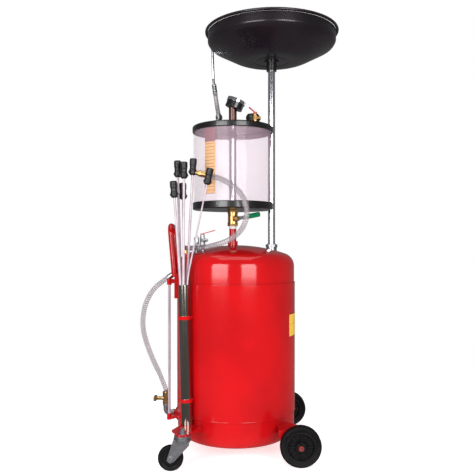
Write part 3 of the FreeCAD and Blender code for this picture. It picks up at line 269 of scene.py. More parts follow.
def prism(name: str, outline: Array, origin: Array, axis: Vector3, thickness: float,
          hint: Vector3 = (1.0, 0.0, 0.0), edge: float = 0.0) -> bpy.types.Object:
    """A plate of any outline, with its edges rounded by a bevel.

    A vertex is origin + x u + y v + h w, with h either 0 or the thickness.

    Args:
        name: The piece's name.
        outline: (x, y) points of the plate.
        origin: Where x, y and h are zero.
        axis: Direction of the thickness.
        thickness: The plate's thickness.
        hint: Roughly the direction of x.
        edge: Width of the edges' bevel.

    Returns:
        The new object.
    """
    across, along, up = basis(np.array(axis), hint)
    flat = origin + outline[:, :1] * across + outline[:, 1:] * along
    count = len(outline)
    faces = grid_faces(2, count, False, True)
    faces += [list(range(count))[::-1], list(range(count, 2 * count))]
    piece = make_object(name, np.vstack([flat, flat + up * thickness]), faces)
    if edge > 0:
        bevel = piece.modifiers.new("edge", "BEVEL")
        bevel.width = edge
        bevel.segments = 2
        bevel.limit_method = "ANGLE"
    return piece


def joined(name: str, pieces: list) -> bpy.types.Object:
    """Several new pieces as one object, their modifiers applied."""
    work = bmesh.new()
    for piece in pieces:
        depsgraph = bpy.context.evaluated_depsgraph_get()
        mesh = bpy.data.meshes.new_from_object(piece.evaluated_get(depsgraph))
        work.from_mesh(mesh)
        bpy.data.meshes.remove(mesh)
        bpy.data.objects.remove(piece)
    mesh = bpy.data.meshes.new(name)
    work.to_mesh(mesh)
    work.free()
    mesh.shade_smooth()
    mesh.set_sharp_from_angle(angle=math.radians(SHARP))
    return placed(name, mesh)


# ------------------------------------------------------------------ finishes
class Pattern(Enum):
    """How a finish's fine grain runs over the piece."""

    EVEN = (1.0, 1.0, 1.0)
    UPRIGHT = (1.0, 1.0, 0.04)
    LEVEL = (0.04, 0.04, 1.0)


def group_of(name: str, inputs: dict, outputs: dict) -> tuple:
    """An empty shader node group with named sockets.

    Args:
        name: The group's name.
        inputs: Socket name to (socket type, default value).
        outputs: Socket name to socket type.

    Returns:
        The group, its input node and its output node.
    """
    group = bpy.data.node_groups.new(name, "ShaderNodeTree")
    for socket, (kind, value) in inputs.items():
        made = group.interface.new_socket(name=socket, in_out="INPUT", socket_type="NodeSocket" + kind)
        if value is not None:
            made.default_value = value
    for socket, kind in outputs.items():
        group.interface.new_socket(name=socket, in_out="OUTPUT", socket_type="NodeSocket" + kind)
    return group, group.nodes.new("NodeGroupInput"), group.nodes.new("NodeGroupOutput")


def add_node(tree: bpy.types.NodeTree, kind: str, **settings: object) -> bpy.types.Node:
    """A shader node with its settings."""
    node = tree.nodes.new("ShaderNode" + kind)
    for key, value in settings.items():
        setattr(node, key, value)
    return node


def grain_group() -> bpy.types.NodeTree:
    """Patches of shade, uneven gloss and fine grain, shared by all the finishes."""
    group, source, sink = group_of(
        "grain",
        {"Vector": ("Vector", None), "Colour": ("Color", (0.8, 0.8, 0.8, 1.0)),
         "Shade": ("Color", (0.5, 0.5, 0.5, 1.0)), "Patch": ("Float", 8.0), "Grain": ("Float", 400.0),
         "Smooth": ("Float", 0.2), "Dull": ("Float", 0.4)},
        {"Colour": "Color", "Roughness": "Float", "Height": "Float"})
    patch = add_node(group, "TexNoise")
    grain = add_node(group, "TexNoise")
    soften = add_node(group, "MapRange", interpolation_type="SMOOTHSTEP")
    gloss = add_node(group, "MapRange")
    mix = add_node(group, "Mix", data_type="RGBA")
    both = add_node(group, "Math", operation="MULTIPLY_ADD")
    preset(patch, {"Detail": 5.0})
    preset(grain, {"Detail": 2.0})
    preset(soften, {"From Min": 0.38, "From Max": 0.66})
    preset(gloss, {"From Min": 0.6, "From Max": 1.1})
    preset(both, {1: 0.7})
    connect(group, [
        (source, "Vector", patch, "Vector"), (source, "Patch", patch, "Scale"),
        (source, "Vector", grain, "Vector"), (source, "Grain", grain, "Scale"),
        (patch, "Fac", soften, "Value"), (soften, "Result", mix, "Factor"),
        (source, "Colour", mix, "A"), (source, "Shade", mix, "B"),
        (patch, "Fac", both, 0), (grain, "Fac", both, 2), (both, "Value", gloss, "Value"),
        (source, "Smooth", gloss, "To Min"), (source, "Dull", gloss, "To Max"),
        (mix, "Result", sink, "Colour"), (gloss, "Result", sink, "Roughness"),
        (grain, "Fac", sink, "Height")])
    return group


def dust_group() -> bpy.types.NodeTree:
    """A film of dust that thins with height above the floor."""
    group, source, sink = group_of(
        "dust",
        {"Vector": ("Vector", None), "Colour": ("Color", (0.5, 0.5, 0.5, 1.0)), "Roughness": ("Float", 0.4),
         "Dust": ("Color", (0.36, 0.33, 0.30, 1.0)), "Reach": ("Float", 0.12), "Amount": ("Float", 0.3)},
        {"Colour": "Color", "Roughness": "Float"})
    split = add_node(group, "SeparateXYZ")
    noise = add_node(group, "TexNoise")
    fade = add_node(group, "MapRange", interpolation_type="SMOOTHSTEP")
    spots = add_node(group, "Math", operation="MULTIPLY")
    share = add_node(group, "Math", operation="MULTIPLY", use_clamp=True)
    mix = add_node(group, "Mix", data_type="RGBA")
    rough = add_node(group, "Math", operation="MULTIPLY_ADD")
    preset(noise, {"Scale": 60.0, "Detail": 6.0})
    preset(fade, {"To Min": 1.0, "To Max": 0.0})
    preset(rough, {1: 0.5})
    connect(group, [
        (source, "Vector", split, "Vector"), (source, "Vector", noise, "Vector"),
        (split, "Z", fade, "Value"), (source, "Reach", fade, "From Max"),
        (fade, "Result", spots, 0), (noise, "Fac", spots, 1),
        (spots, "Value", share, 0), (source, "Amount", share, 1), (share, "Value", mix, "Factor"),
        (source, "Colour", mix, "A"), (source, "Dust", mix, "B"),
        (share, "Value", rough, 0), (source, "Roughness", rough, 2),
        (mix, "Result", sink, "Colour"), (rough, "Value", sink, "Roughness")])
    return group


class Groups:
    """The node groups, each built once."""

    made: dict[str, bpy.types.NodeTree] = {}

    @classmethod
    def get(cls, name: str) -> bpy.types.NodeTree:
        """The group of this name."""
        if name not in cls.made:
            cls.made[name] = {"grain": grain_group, "dust": dust_group}[name]()
        return cls.made[name]


@dataclass(frozen=True)
class Finish:
    """One surface finish.

    Args:
        name: The material's name.
        slot: The record's material slot; not used.
        colour: Main colour.
        shade: Colour of the patches.
        smooth: Roughness where the surface is glossiest.
        dull: Roughness where it is dullest.
        metallic: How metallic the surface is.
        patch: Patches per metre, roughly.
        grain: Grains per metre, roughly.
        bump: Height of the grain, in metres.
        pattern: How the grain runs.
        coat: Weight of a clear coat.
        alpha: Opacity.
        dusty: Share of floor dust near the floor.
        specular: Strength of the mirror-like reflection.
        edge: Radius of the edges' shading, in metres.
    """

    name: str
    slot: str
    colour: Colour
    shade: Colour
    smooth: float
    dull: float
    metallic: float = 0.0
    patch: float = 9.0
    grain: float = 500.0
    bump: float = 0.00004
    pattern: Pattern = Pattern.EVEN
    coat: float = 0.0
    alpha: float = 1.0
    dusty: float = 0.0
    specular: float = 0.5
    edge: float = 0.0006

    def material(self) -> bpy.types.Material:
        """The finish's material, made the first time it is asked for.

        Returns:
            The material.
        """
        known = bpy.data.materials.get(self.name)
        if known:
            return known
        made = bpy.data.materials.new(self.name)
        made.use_nodes = True
        tree = made.node_tree
        shader = tree.nodes["Principled BSDF"]
        preset(shader, {"Metallic": self.metallic, "Coat Weight": self.coat, "Coat Roughness": 0.04,
                        "Alpha": self.alpha, "Specular IOR Level": self.specular})
        place = add_node(tree, "TexCoord")
        stretch = add_node(tree, "Mapping")
        preset(stretch, {"Scale": self.pattern.value})
        grain = add_node(tree, "Group", node_tree=Groups.get("grain"))
        preset(grain, {"Colour": (*self.colour, 1.0), "Shade": (*self.shade, 1.0), "Patch": self.patch,
                       "Grain": self.grain, "Smooth": self.smooth, "Dull": self.dull})
        connect(tree, [(place, "Object", stretch, "Vector"), (stretch, "Vector", grain, "Vector")])
        last = grain
        if self.dusty > 0:
            last = add_node(tree, "Group", node_tree=Groups.get("dust"))
            preset(last, {"Amount": self.dusty})
            connect(tree, [(place, "Object", last, "Vector"), (grain, "Colour", last, "Colour"),
                           (grain, "Roughness", last, "Roughness")])
        bump = add_node(tree, "Bump")
        preset(bump, {"Distance": self.bump})
        if self.alpha >= 1.0 and self.edge > 0:
            soft_edge = add_node(tree, "Bevel", samples=6)
            preset(soft_edge, {"Radius": self.edge})
            connect(tree, [(soft_edge, "Normal", bump, "Normal")])
        connect(tree, [(grain, "Height", bump, "Height"), (last, "Colour", shader, "Base Color"),
                       (last, "Roughness", shader, "Roughness"), (bump, "Normal", shader, "Normal")])
        return made


ENAMEL = Finish("red_enamel", "red_paint", (0.47, 0.004, 0.006), (0.39, 0.003, 0.005), 0.08, 0.16,
                patch=5.0, grain=260.0, bump=0.00003, coat=0.2, dusty=0.05, specular=0.35)
DIPPED_RED = Finish("red_dip", "red_lever", (0.55, 0.010, 0.018), (0.40, 0.006, 0.012), 0.2, 0.34,
                    patch=60.0, coat=0.3)
BLACK_GLOSS = Finish("black_gloss", "black_paint", (0.006, 0.005, 0.006), (0.004, 0.003, 0.004), 0.24, 0.36,
                     grain=300.0, bump=0.00002, coat=0.4)
CHROME = Finish("bright_chrome", "chrome", (0.76, 0.76, 0.82), (0.68, 0.68, 0.74), 0.10, 0.15, 1.0,
                patch=3.0, grain=900.0, bump=0.000001, pattern=Pattern.UPRIGHT)
# Chrome darkened to a brownish grey, its patches stretched into upright streaks: painted reflection of the
# dim surroundings on the storage tube.
STORE_CHROME = Finish("chrome_painted_dark_reflection", "chrome", (0.42, 0.39, 0.36), (0.30, 0.27, 0.23), 0.09, 0.16, 1.0,
                      patch=26.0, grain=900.0, bump=0.000001, pattern=Pattern.UPRIGHT)
ZINC = Finish("zinc_plate", "zinc_steel", (0.56, 0.56, 0.58), (0.40, 0.40, 0.43), 0.24, 0.42, 1.0,
              patch=55.0, grain=900.0)
# Zinc darker than ZINC for the caster parts low under the tank: painted shade, with real floor dust laid on
# top.
ZINC_LOW = Finish("zinc_plate_low", "zinc_steel", (0.50, 0.50, 0.54), (0.34, 0.34, 0.37), 0.28, 0.46, 1.0,
                  patch=55.0, grain=900.0, dusty=0.3)
POST_METAL = Finish("bronzed_steel", "post_metal", (0.15, 0.085, 0.075), (0.08, 0.045, 0.04), 0.3, 0.46, 1.0,
                    patch=60.0, pattern=Pattern.UPRIGHT)
BRASS = Finish("satin_brass", "brass", (0.72, 0.46, 0.19), (0.50, 0.29, 0.10), 0.18, 0.36, 1.0,
               patch=60.0, grain=900.0)
CLEAR = Finish("clear_cylinder", "clear_plastic", (0.80, 0.58, 0.68), (0.70, 0.50, 0.62), 0.04, 0.09,
               patch=4.0, bump=0.00001, alpha=0.15)
LENS = Finish("gauge_glass", "clear_plastic", (0.95, 0.95, 0.96), (0.92, 0.92, 0.94), 0.03, 0.06,
              bump=0.00001, alpha=0.18)
SIGHT = Finish("sight_tube_nylon", "clear_plastic", (0.52, 0.44, 0.50), (0.40, 0.33, 0.38), 0.14, 0.26,
               patch=14.0, alpha=0.85)
HOSE_WALL = Finish("clear_hose_wall", "clear_hose", (0.52, 0.44, 0.48), (0.42, 0.35, 0.38), 0.12, 0.26,
                   patch=30.0, alpha=0.32, coat=0.3)
NYLON = Finish("milky_nylon", "nylon", (0.60, 0.50, 0.55), (0.46, 0.38, 0.43), 0.2, 0.34,
               patch=22.0, alpha=0.85)
MOULDED = Finish("black_moulding", "black_plastic", (0.007, 0.007, 0.009), (0.004, 0.004, 0.005), 0.36, 0.52,
                 patch=70.0, grain=1600.0)
RUBBER = Finish("black_rubber", "wheel_rubber", (0.006, 0.005, 0.006), (0.003, 0.003, 0.003), 0.42, 0.60,
                patch=40.0, grain=1400.0, bump=0.00008, dusty=0.02, specular=0.12)
GASKET = Finish("gasket", "gasket_rubber", (0.03, 0.03, 0.03), (0.02, 0.02, 0.02), 0.55, 0.7, patch=60.0)
GREEN = Finish("green_dip", "green_sleeve", (0.0, 0.22, 0.085), (0.0, 0.15, 0.055), 0.16, 0.28,
               patch=50.0, coat=0.4)
POINTER = Finish("pointer_black", "pointer_paint", (0.02, 0.02, 0.02), (0.012, 0.012, 0.012), 0.4, 0.55)
WIRE = Finish("spring_steel", "zinc_steel", (0.16, 0.15, 0.16), (0.08, 0.08, 0.09), 0.22, 0.38, 1.0,
              patch=200.0)
AXLE_END = Finish("axle_end_red", "red_paint", (0.22, 0.012, 0.012), (0.10, 0.010, 0.010), 0.35, 0.5,
                  patch=90.0)
BLACKENED = Finish("blackened_steel", "zinc_steel", (0.06, 0.05, 0.05), (0.03, 0.025, 0.025), 0.35, 0.5, 1.0,
                   patch=90.0)
HUB = Finish("black_hub", "wheel_rubber", (0.008, 0.007, 0.008), (0.004, 0.004, 0.004), 0.30, 0.46,
             patch=60.0, grain=1500.0, dusty=0.02, specular=0.16)
BOWL_BLACK = Finish("bowl_black", "black_paint", (0.010, 0.006, 0.009), (0.006, 0.004, 0.006), 0.24, 0.34,
                    patch=7.0, grain=260.0, bump=0.00003, coat=0.15, specular=0.4)
TAPE = Finish("sealing_tape", "nylon", (0.86, 0.85, 0.84), (0.70, 0.69, 0.68), 0.55, 0.7,
              patch=120.0, grain=1500.0, pattern=Pattern.LEVEL)


@dataclass(frozen=True)
class Graduated(Finish):
    """A printed strip with a line at every step and a band at its top.

    Args:
        foot: Height of the first line, in metres.
        head: Height where the band starts.
        step: Distance between the lines.
        line: Thickness of a line.
        ink: Colour of the lines.
        band: Colour of the band.
    """

    foot: float = 0.0
    head: float = 1.0
    step: float = 0.0108
    line: float = 0.0016
    ink: Colour = (0.10, 0.05, 0.02)
    band: Colour = (0.16, 0.02, 0.01)

    def material(self) -> bpy.types.Material:
        """The strip's material: the finish with lines and a band laid over its colour.

        Returns:
            The material.
        """
        made = super().material()
        tree = made.node_tree
        if tree.nodes.get("ink"):
            return made
        shader = tree.nodes["Principled BSDF"]
        under = shader.inputs["Base Color"].links[0].from_node
        place = add_node(tree, "TexCoord")
        split = add_node(tree, "SeparateXYZ")
        rise = add_node(tree, "Math", operation="SUBTRACT")
        cycle = add_node(tree, "Math", operation="FLOORED_MODULO")
        on_line = add_node(tree, "Math", operation="LESS_THAN")
        on_band = add_node(tree, "Math", operation="GREATER_THAN")
        lines = add_node(tree, "Mix", data_type="RGBA", name="ink")
        bands = add_node(tree, "Mix", data_type="RGBA")
        limits = ((rise, self.foot), (cycle, self.step), (on_line, self.line), (on_band, self.head))
        for node, limit in limits:
            preset(node, {1: limit})
        preset(lines, {"B": (*self.ink, 1.0)})
        preset(bands, {"B": (*self.band, 1.0)})
        connect(tree, [
            (place, "Object", split, "Vector"), (split, "Z", rise, 0), (rise, "Value", cycle, 0),
            (cycle, "Value", on_line, 0), (split, "Z", on_band, 0), (on_line, "Value", lines, "Factor"),
            (on_band, "Value", bands, "Factor"), (under, "Colour", lines, "A"),
            (lines, "Result", bands, "A"), (bands, "Result", shader, "Base Color")])
        return made


STRIP = Graduated("scale_strip_print", "scale_yellow", (0.80, 0.46, 0.04), (0.72, 0.38, 0.03), 0.3, 0.45,
                  foot=bottom("scale_strip"), head=top("scale_strip") - 0.046)
LABEL = Graduated("label_print", "scale_yellow", (0.86, 0.55, 0.06), (0.80, 0.48, 0.05), 0.25, 0.4,
                  foot=0.380, head=0.4515, step=0.040, line=0.0012, ink=(0.40, 0.20, 0.03))
DIAL = Finish("dial_face", "clear_plastic", (0.86, 0.86, 0.84), (0.80, 0.80, 0.78), 0.3, 0.45, patch=40.0)


def dress(piece: bpy.types.Object, finish: Finish) -> bpy.types.Object:
    """Gives a piece one finish all over."""
    piece.data.materials.clear()
    piece.data.materials.append(finish.material())
    return piece


def settle(piece: bpy.types.Object, finish: Finish, body: str, *nodes: str) -> bpy.types.Object:
    """Dresses a new piece, puts it on a body and lets it stand for CAD nodes.

    Args:
        piece: The new piece.
        finish: Its finish.
        body: The body that it rides on.
        nodes: CAD nodes that it replaces.

    Returns:
        The piece.
    """
    dress(piece, finish)
    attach(piece, body)
    if nodes:
        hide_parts(*nodes)
    LOG.info("%s on %s, %d vertices", piece.name, body, len(getattr(piece.data, "vertices", [])))
    return piece


# ------------------------------------------------------------------ camera, lights and stage
@dataclass
class Studio:
    """Camera, soft lights and pale floor.

    Args:
        eye: Camera in millimetres about the tank's axis.
        lens: Focal length in millimetres, on a 36 mm sensor.
        rise: Vertical shift of the frame.
        fill: Strength of the backdrop as a light.
        mirrored: Strength of the backdrop in reflections.
        floor_reach: Half the floor's width.
        floor_glow: Light that the floor gives off, so that it meets the backdrop evenly.
    """

    eye: Vector3 = (3.4, -2118.0, 672.0)
    lens: float = 47.1
    rise: float = 0.0211
    fill: float = 0.40
    mirrored: float = 0.16
    floor_reach: float = 1.25
    floor_glow: float = 0.62

    def camera(self) -> None:
        """Level camera that looks along +Y."""
        data = bpy.data.cameras.new("camera")
        data.lens = self.lens
        data.sensor_width = 36.0
        data.shift_y = self.rise
        camera = placed("camera", data)
        camera.location = from_tank(*self.eye)
        camera.rotation_euler = (math.pi / 2, 0.0, 0.0)
        bpy.context.scene.camera = camera

    def softbox(self, name: str, azimuth: float, distance: float, height: float, wide: float, tall: float,
                power: float) -> None:
        """A rectangular light that faces the tank.

        Args:
            name: The light's name.
            azimuth: Degrees to the right of the camera's side.
            distance: Metres from the tank's axis.
            height: Height of its middle.
            wide: Width.
            tall: Height of the light itself.
            power: Watts.
        """
        data = bpy.data.lights.new(name, "AREA")
        data.shape = "RECTANGLE"
        data.size = wide
        data.size_y = tall
        data.energy = power
        light = placed(name, data)
        angle = math.radians(azimuth)
        place = TANK + np.array((math.sin(angle) * distance, -math.cos(angle) * distance, height))
        light.location = place
        light.rotation_euler = (math.pi / 2, 0.0, angle)
        light.visible_camera = False

    def lights(self) -> None:
        """Two softboxes in front, one above, and a pale surround."""
        self.softbox("softbox_left", -30.0, 2.7, 1.12, 1.45, 1.35, 52.0)
        self.softbox("softbox_right", 24.0, 2.7, 1.12, 1.30, 1.35, 46.0)
        above = bpy.data.lights.new("overhead", "AREA")
        above.size = 2.4
        above.energy = 30.0
        overhead = placed("overhead", above)
        overhead.location = from_tank(0.0, -300.0, 3300.0)
        overhead.visible_camera = False
        self.surround()

    def surround(self) -> None:
        """White backdrop, dimmer as a light than it looks and dimmest in mirror-like reflections."""
        world = bpy.data.worlds.new("surround")
        world.use_nodes = True
        tree = world.node_tree
        rays = add_node(tree, "LightPath")
        mirrored = add_node(tree, "MapRange")
        preset(mirrored, {"To Min": self.fill, "To Max": self.mirrored})
        seen = add_node(tree, "Math", operation="MAXIMUM")
        backdrop = tree.nodes["Background"]
        preset(backdrop, {"Color": (1.0, 1.0, 1.0, 1.0)})
        connect(tree, [(rays, "Is Glossy Ray", mirrored, "Value"), (mirrored, "Result", seen, 0),
                       (rays, "Is Camera Ray", seen, 1), (seen, "Value", backdrop, "Strength")])
        bpy.context.scene.world = world
        bpy.context.scene.view_settings.view_transform = "Standard"

    def floor(self) -> None:
        """Pale floor under the wheels, left out of mirror-like reflections."""
        corners = np.array([(-1, -1, 0), (1, -1, 0), (1, 1, 0), (-1, 1, 0)], float) * self.floor_reach + TANK
        floor = make_object("floor", corners, [[0, 1, 2, 3]])
        finish = Finish("pale_floor", "", (0.92, 0.92, 0.92), (0.90, 0.90, 0.90), 0.6, 0.75, patch=2.0)
        dress(floor, finish)
        shader = finish.material().node_tree.nodes["Principled BSDF"]
        preset(shader, {"Emission Color": (1.0, 1.0, 1.0, 1.0), "Emission Strength": self.floor_glow})
        floor.visible_glossy = False


# ------------------------------------------------------------------ free hoses
@dataclass
class FreeHose:
    """A clear hose on its route, stiffened by a steel spiral.

    Args:
        name: The hose's CAD node.
        route: Control points in millimetres about the tank's axis.
        radius: Outer radius.
        length: Length from end to end; not used.
        far_end: What is on its far end; not used.
        on_it: CAD nodes that are on the hose; not used.
        pitch: Length of one turn of the spiral.
        wire: Radius of the spiral's wire.
    """

    name: str
    route: list
    radius: float
    length: float
    far_end: str
    on_it: tuple = ()
    pitch: float = 0.0074
    wire: float = 0.0010

    def points(self) -> Array:
        """The route's control points in the row's frame."""
        return np.array([from_tank(*point) for point in self.route])

    def curve(self) -> bpy.types.Object:
        """The hose's wall as a smooth tube on its control points.

        Returns:
            The curve object, dressed later.
        """
        points = self.points()
        data = bpy.data.curves.new(self.name + "_wall", "CURVE")
        data.dimensions = "3D"
        data.resolution_u = 16
        spline = data.splines.new("NURBS")
        spline.points.add(len(points) - 1)
        spline.points.foreach_set("co", np.column_stack([points, np.ones(len(points))]).ravel())
        spline.order_u = 3
        spline.use_endpoint_u = True
        return placed(data.name, data)

    def centreline(self, piece: bpy.types.Object) -> Array:
        """Points along the bare curve.

        Args:
            piece: The curve, before it has a thickness.

        Returns:
            Points, n by 3.
        """
        mesh = bpy.data.meshes.new_from_object(piece)
        line = np.zeros(len(mesh.vertices) * 3)
        mesh.vertices.foreach_get("co", line)
        bpy.data.meshes.remove(mesh)
        return line.reshape(-1, 3)

    def spiral(self, line: Array) -> bpy.types.Object:
        """The steel spiral inside the wall.

        At a share s of the hose the wire's centre is p(s) + q (cos(2 pi t s) a + sin(2 pi t s) b), with
        t the number of turns, q the spiral's radius and a and b the frame's directions.

        Args:
            line: The hose's centreline.

        Returns:
            The new object.
        """
        turns = length_of(line) / self.pitch
        path = spaced(line, int(turns * 20))
        side, normal, _ = frames(path)
        angle = np.linspace(0.0, TURN * turns, len(path))[:, None]
        reach = self.radius * 0.86 - self.wire
        coil = path + reach * (np.cos(angle) * side + np.sin(angle) * normal)
        return wire_along(self.name + "_spiral", coil, self.wire)

    def build(self) -> None:
        """Wall and spiral, both on the tank's body."""
        wall = self.curve()
        line = self.centreline(wall)
        wall.data.bevel_depth = self.radius
        wall.data.bevel_resolution = 5
        wall.data.use_fill_caps = True
        spiral = settle(self.spiral(line), WIRE, "tank")
        settle(wall, HOSE_WALL, "tank", self.name)
        LOG.info("%s: centreline %.3f m", self.name, length_of(line))


def wire_along(name: str, path: Array, radius: float) -> bpy.types.Object:
    """A thin round wire whose frame follows each stretch of the path.

    A vertex is p + r (cos a s + sin a n), where s is the tangent crossed with the path's second
    difference, so that s stays square to a coil's own curve.

    Args:
        name: The piece's name.
        path: Points, n by 3.
        radius: The wire's radius.

    Returns:
        The new object.
    """
    tangent = unit(np.gradient(path, axis=0))
    inward = np.gradient(tangent, axis=0)
    side = unit(np.cross(tangent, inward))
    normal = np.cross(side, tangent)
    sides = 6
    angles = np.linspace(0.0, TURN, sides, endpoint=False)
    round_ = np.cos(angles)[None, :, None] * side[:, None] + np.sin(angles)[None, :, None] * normal[:, None]
    points = path[:, None] + radius * round_
    ends = [end[None, None].repeat(sides, axis=1) for end in (path[0], path[-1])]
    points = np.concatenate([ends[0], points, ends[1]])
    return make_object(name, points, grid_faces(len(points), sides, False, True), 80.0)


SUCTION_ROUTE = [(-158, -68, 668), (-112, -115, 668), (-65, -145, 678), (-26, -158, 691), (7, -162, 713),
                 (28, -163, 743), (36, -163, 780), (29, -163, 818), (9, -161, 850), (-21, -159, 874),
                 (-59, -156, 893), (-96, -153, 901)]
DISCHARGE_ROUTE = [(-233, 10, 567), (-260, 10, 549), (-284, 10, 526), (-304, 10, 494), (-317, 10, 454),
                   (-321, 10, 396), (-306, 10, 338), (-281, 10, 276), (-254, 10, 222), (-240, 10, 180)]
WAND_ROUTE = [(-62, 118, 1142), (-66, 141, 1165), (-72, 168, 1202), (-77, 187, 1239)]
HOSES = [FreeHose("suction_hose", SUCTION_ROUTE, 0.009, 0.472, "connector", ("suction_coupling",)),
         FreeHose("discharge_hose", DISCHARGE_ROUTE, 0.009, 0.434, "object"),
         FreeHose("wand_hose", WAND_ROUTE, 0.0085, 0.121, "object")]

# ------------------------------------------------------------------ sub-assemblies
def ring_of(name: str, corners: list, radii: list | float, origin: Array, axis: Vector3 = (0.0, 0.0, 1.0),
            ring: bool = True, around: int = AROUND) -> bpy.types.Object:
    """A turned piece from millimetre corners with rounded edges.

    Args:
        name: The piece's name.
        corners: (radius, height) corners in millimetres.
        radii: Radius of every corner, or one for all.
        origin: Where height is zero.
        axis: Direction of growing height.
        ring: Whether the outline is a closed loop off the axis.
        around: Number of faces in one turn.

    Returns:
        The new object.
    """
    sizes = radii if isinstance(radii, list) else [radii] * len(corners)
    outline = rounded(corners, sizes, closed=ring) * MM
    return turned(name, outline, origin, axis, around, ring)


def both_sides(half: list) -> list:
    """An outline that is the same on both sides of height 0, from its upper half."""
    return [(radius, -height) for radius, height in half] + half[::-1]


def islands(node: str) -> list:
    """Vertices of each separate solid of a CAD node.

    Args:
        node: The node's name.

    Returns:
        One array of points per solid, from left to right.
    """
    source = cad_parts[node]
    work = bmesh.new()
    work.from_mesh(source.data)
    work.transform(source.matrix_world)
    bmesh.ops.remove_doubles(work, verts=work.verts, dist=MERGE)
    left = set(work.verts)
    found = []
    while left:
        stack = [left.pop()]
        group = []
        while stack:
            vertex = stack.pop()
            group.append(tuple(vertex.co))
            for edge in vertex.link_edges:
                other = edge.other_vert(vertex)
                if other in left:
                    left.remove(other)
                    stack.append(other)
        found.append(np.array(group))
    work.free()
    return sorted(found, key=lambda points: float(points[:, 0].mean()))


def lie_of(points: Array) -> tuple[Array, Array, Array]:
    """Centre, long direction and broad direction of a solid's points, long pointing up.

    The directions are the right singular vectors of the points about their mean; the centre is the
    middle of the points' reach along each.
    """
    mean = points.mean(axis=0)
    turn = np.linalg.svd(points - mean, full_matrices=False)[2]
    along = (points - mean) @ turn.T
    centre = mean + ((along.min(axis=0) + along.max(axis=0)) / 2) @ turn
    long = turn[0] if turn[0][2] > 0 else -turn[0]
    return centre, long, turn[1]


@dataclass
class PressureTank:
    """Weld beads, the sealing tape on the riser and the label of the red tank.

    Args:
        bead: Half the width of a weld bead, in millimetres; it stands out half as far.
        label_low: Lower edge of the label.
        label_high: Upper edge of the label.
        label_from: Degrees from the camera's side where the label starts.
        label_to: Degrees where it ends.
    """

    bead: float = 1.6
    label_low: float = 380.0
    label_high: float = 454.0
    label_from: float = 60.3
    label_to: float = 97.0

    def beads(self) -> None:
        """A low weld bead where each head meets the shell.

        Each is an ellipse, twice as wide as it is thick, turned at the shell's radius.
        """
        radius = plan_radius("tank_shell") / MM
        angles = np.linspace(0.0, TURN, 12, endpoint=False)
        section = np.stack([radius + self.bead / 2 * np.cos(angles), self.bead * np.sin(angles)], axis=1)
        for name, height in (("lower_bead", bottom("tank_shell")), ("upper_bead", top("tank_shell"))):
            ring = turned(name, section * MM, TANK + (0, 0, height), around=160, ring=True)
            settle(ring, ENAMEL, "tank")

    def label(self) -> None:
        """A thin blank sticker that follows the shell.

        A vertex at angle a and height z is the axis + r (sin a, -cos a), with r the shell's radius
        on the back and 0.3 mm more on the front.
        """
        radius = plan_radius("tank_shell")
        count = 25
        angles = np.radians(np.linspace(self.label_from, self.label_to, count))
        loop = []
        for reach, height in ((0.0001, self.label_low), (0.0004, self.label_low), (0.0004, self.label_high),
                              (0.0001, self.label_high)):
            row = np.stack([np.sin(angles), -np.cos(angles), 0 * angles], axis=1) * (radius + reach)
            loop.append(TANK + row + (0, 0, height * MM))
        faces = grid_faces(4, count, True, False)
        first = [0, count, 2 * count, 3 * count]
        ends = [first, [corner + count - 1 for corner in (first[0], *first[:0:-1])]]
        settle(make_object("tank_label", np.array(loop), faces + ends), LABEL, "tank")

    def tape(self) -> None:
        """Turns of sealing tape that show under the ball valve."""
        centre = middle("riser_pipe") * (1, 1, 0) + (0, 0, top("riser_pipe"))
        corners = [(12.02, -9.0), (12.9, -8.4), (12.7, -6.2), (13.2, -5.0), (12.9, -3.0), (13.3, -1.6),
                   (13.0, -0.1), (12.02, -0.1)]
        settle(ring_of("sealing_tape", corners, 0.25, centre), TAPE, "tank")

    def build(self) -> None:
        """All the tank's dressings."""
        self.beads()
        self.label()
        self.tape()


@dataclass
class Wheel:
    """A tyre and a spoked hub that stand for one wheel.

    Args:
        node: The wheel's CAD node and body.
        tyre: (radius, height) corners of the tyre, in millimetres.
        rim: Corners of the hub's rim.
        boss: Corners of the hub's boss.
        web: Corners of the web between them.
        spokes: Number of ribs.
        rib: Inner radius, outer radius, thickness and half width of a rib.
    """

    node: str
    tyre: list
    rim: list
    boss: list
    web: list
    spokes: int
    rib: tuple

    def build(self) -> None:
        """Tyre and hub, turned about Y."""
        centre = middle(self.node)
        tyre = ring_of(self.node + "_tyre", self.tyre, 2.5, centre, (0, 1, 0))
        settle(tyre, RUBBER, self.node, self.node)
        hub = [ring_of(self.node + "_part", corners, radius, centre, (0, 1, 0))
               for corners, radius in ((self.rim, 1.0), (self.boss, 1.0), (self.web, 0.5))]
        inner, outer, thick, half = (value * MM for value in self.rib)
        outline = oblong(inner, outer, thick)
        for k in range(self.spokes):
            angle = TURN * k / self.spokes
            hint = (math.cos(angle), 0.0, math.sin(angle))
            hub.append(prism(self.node + "_rib", outline, centre - (0, half, 0), (0, 1, 0), 2 * half, hint,
                             0.0006))
        settle(joined(self.node + "_hub", hub), HUB, self.node, self.node)


def axle_wheel(side: str) -> Wheel:
    """One large wheel."""
    return Wheel("axle_wheel_" + side,
                 both_sides([(45.9, 15.5), (57.5, 17.5), (61.5, 15.0), (63.5, 9.0)]),
                 both_sides([(40.0, 13.5), (42.0, 16.5), (46.4, 16.2)]),
                 both_sides([(8.05, 18.5), (15.0, 18.5), (17.5, 12.0)]),
                 both_sides([(16.0, 4.0), (42.0, 4.0)]), 8, (15.0, 42.0, 3.2, 11.0))


def caster_wheel(side: str) -> Wheel:
    """One small wheel."""
    return Wheel("caster_wheel_" + side,
                 both_sides([(28.0, 11.0), (33.5, 12.0), (37.5, 8.5), (38.5, 4.0)]),
                 both_sides([(25.0, 9.5), (28.3, 11.5)]),
                 both_sides([(5.05, 14.5), (9.0, 14.5), (10.5, 8.0)]),
                 both_sides([(9.0, 6.0), (26.5, 5.0)]), 6, (9.0, 26.5, 2.4, 7.5))


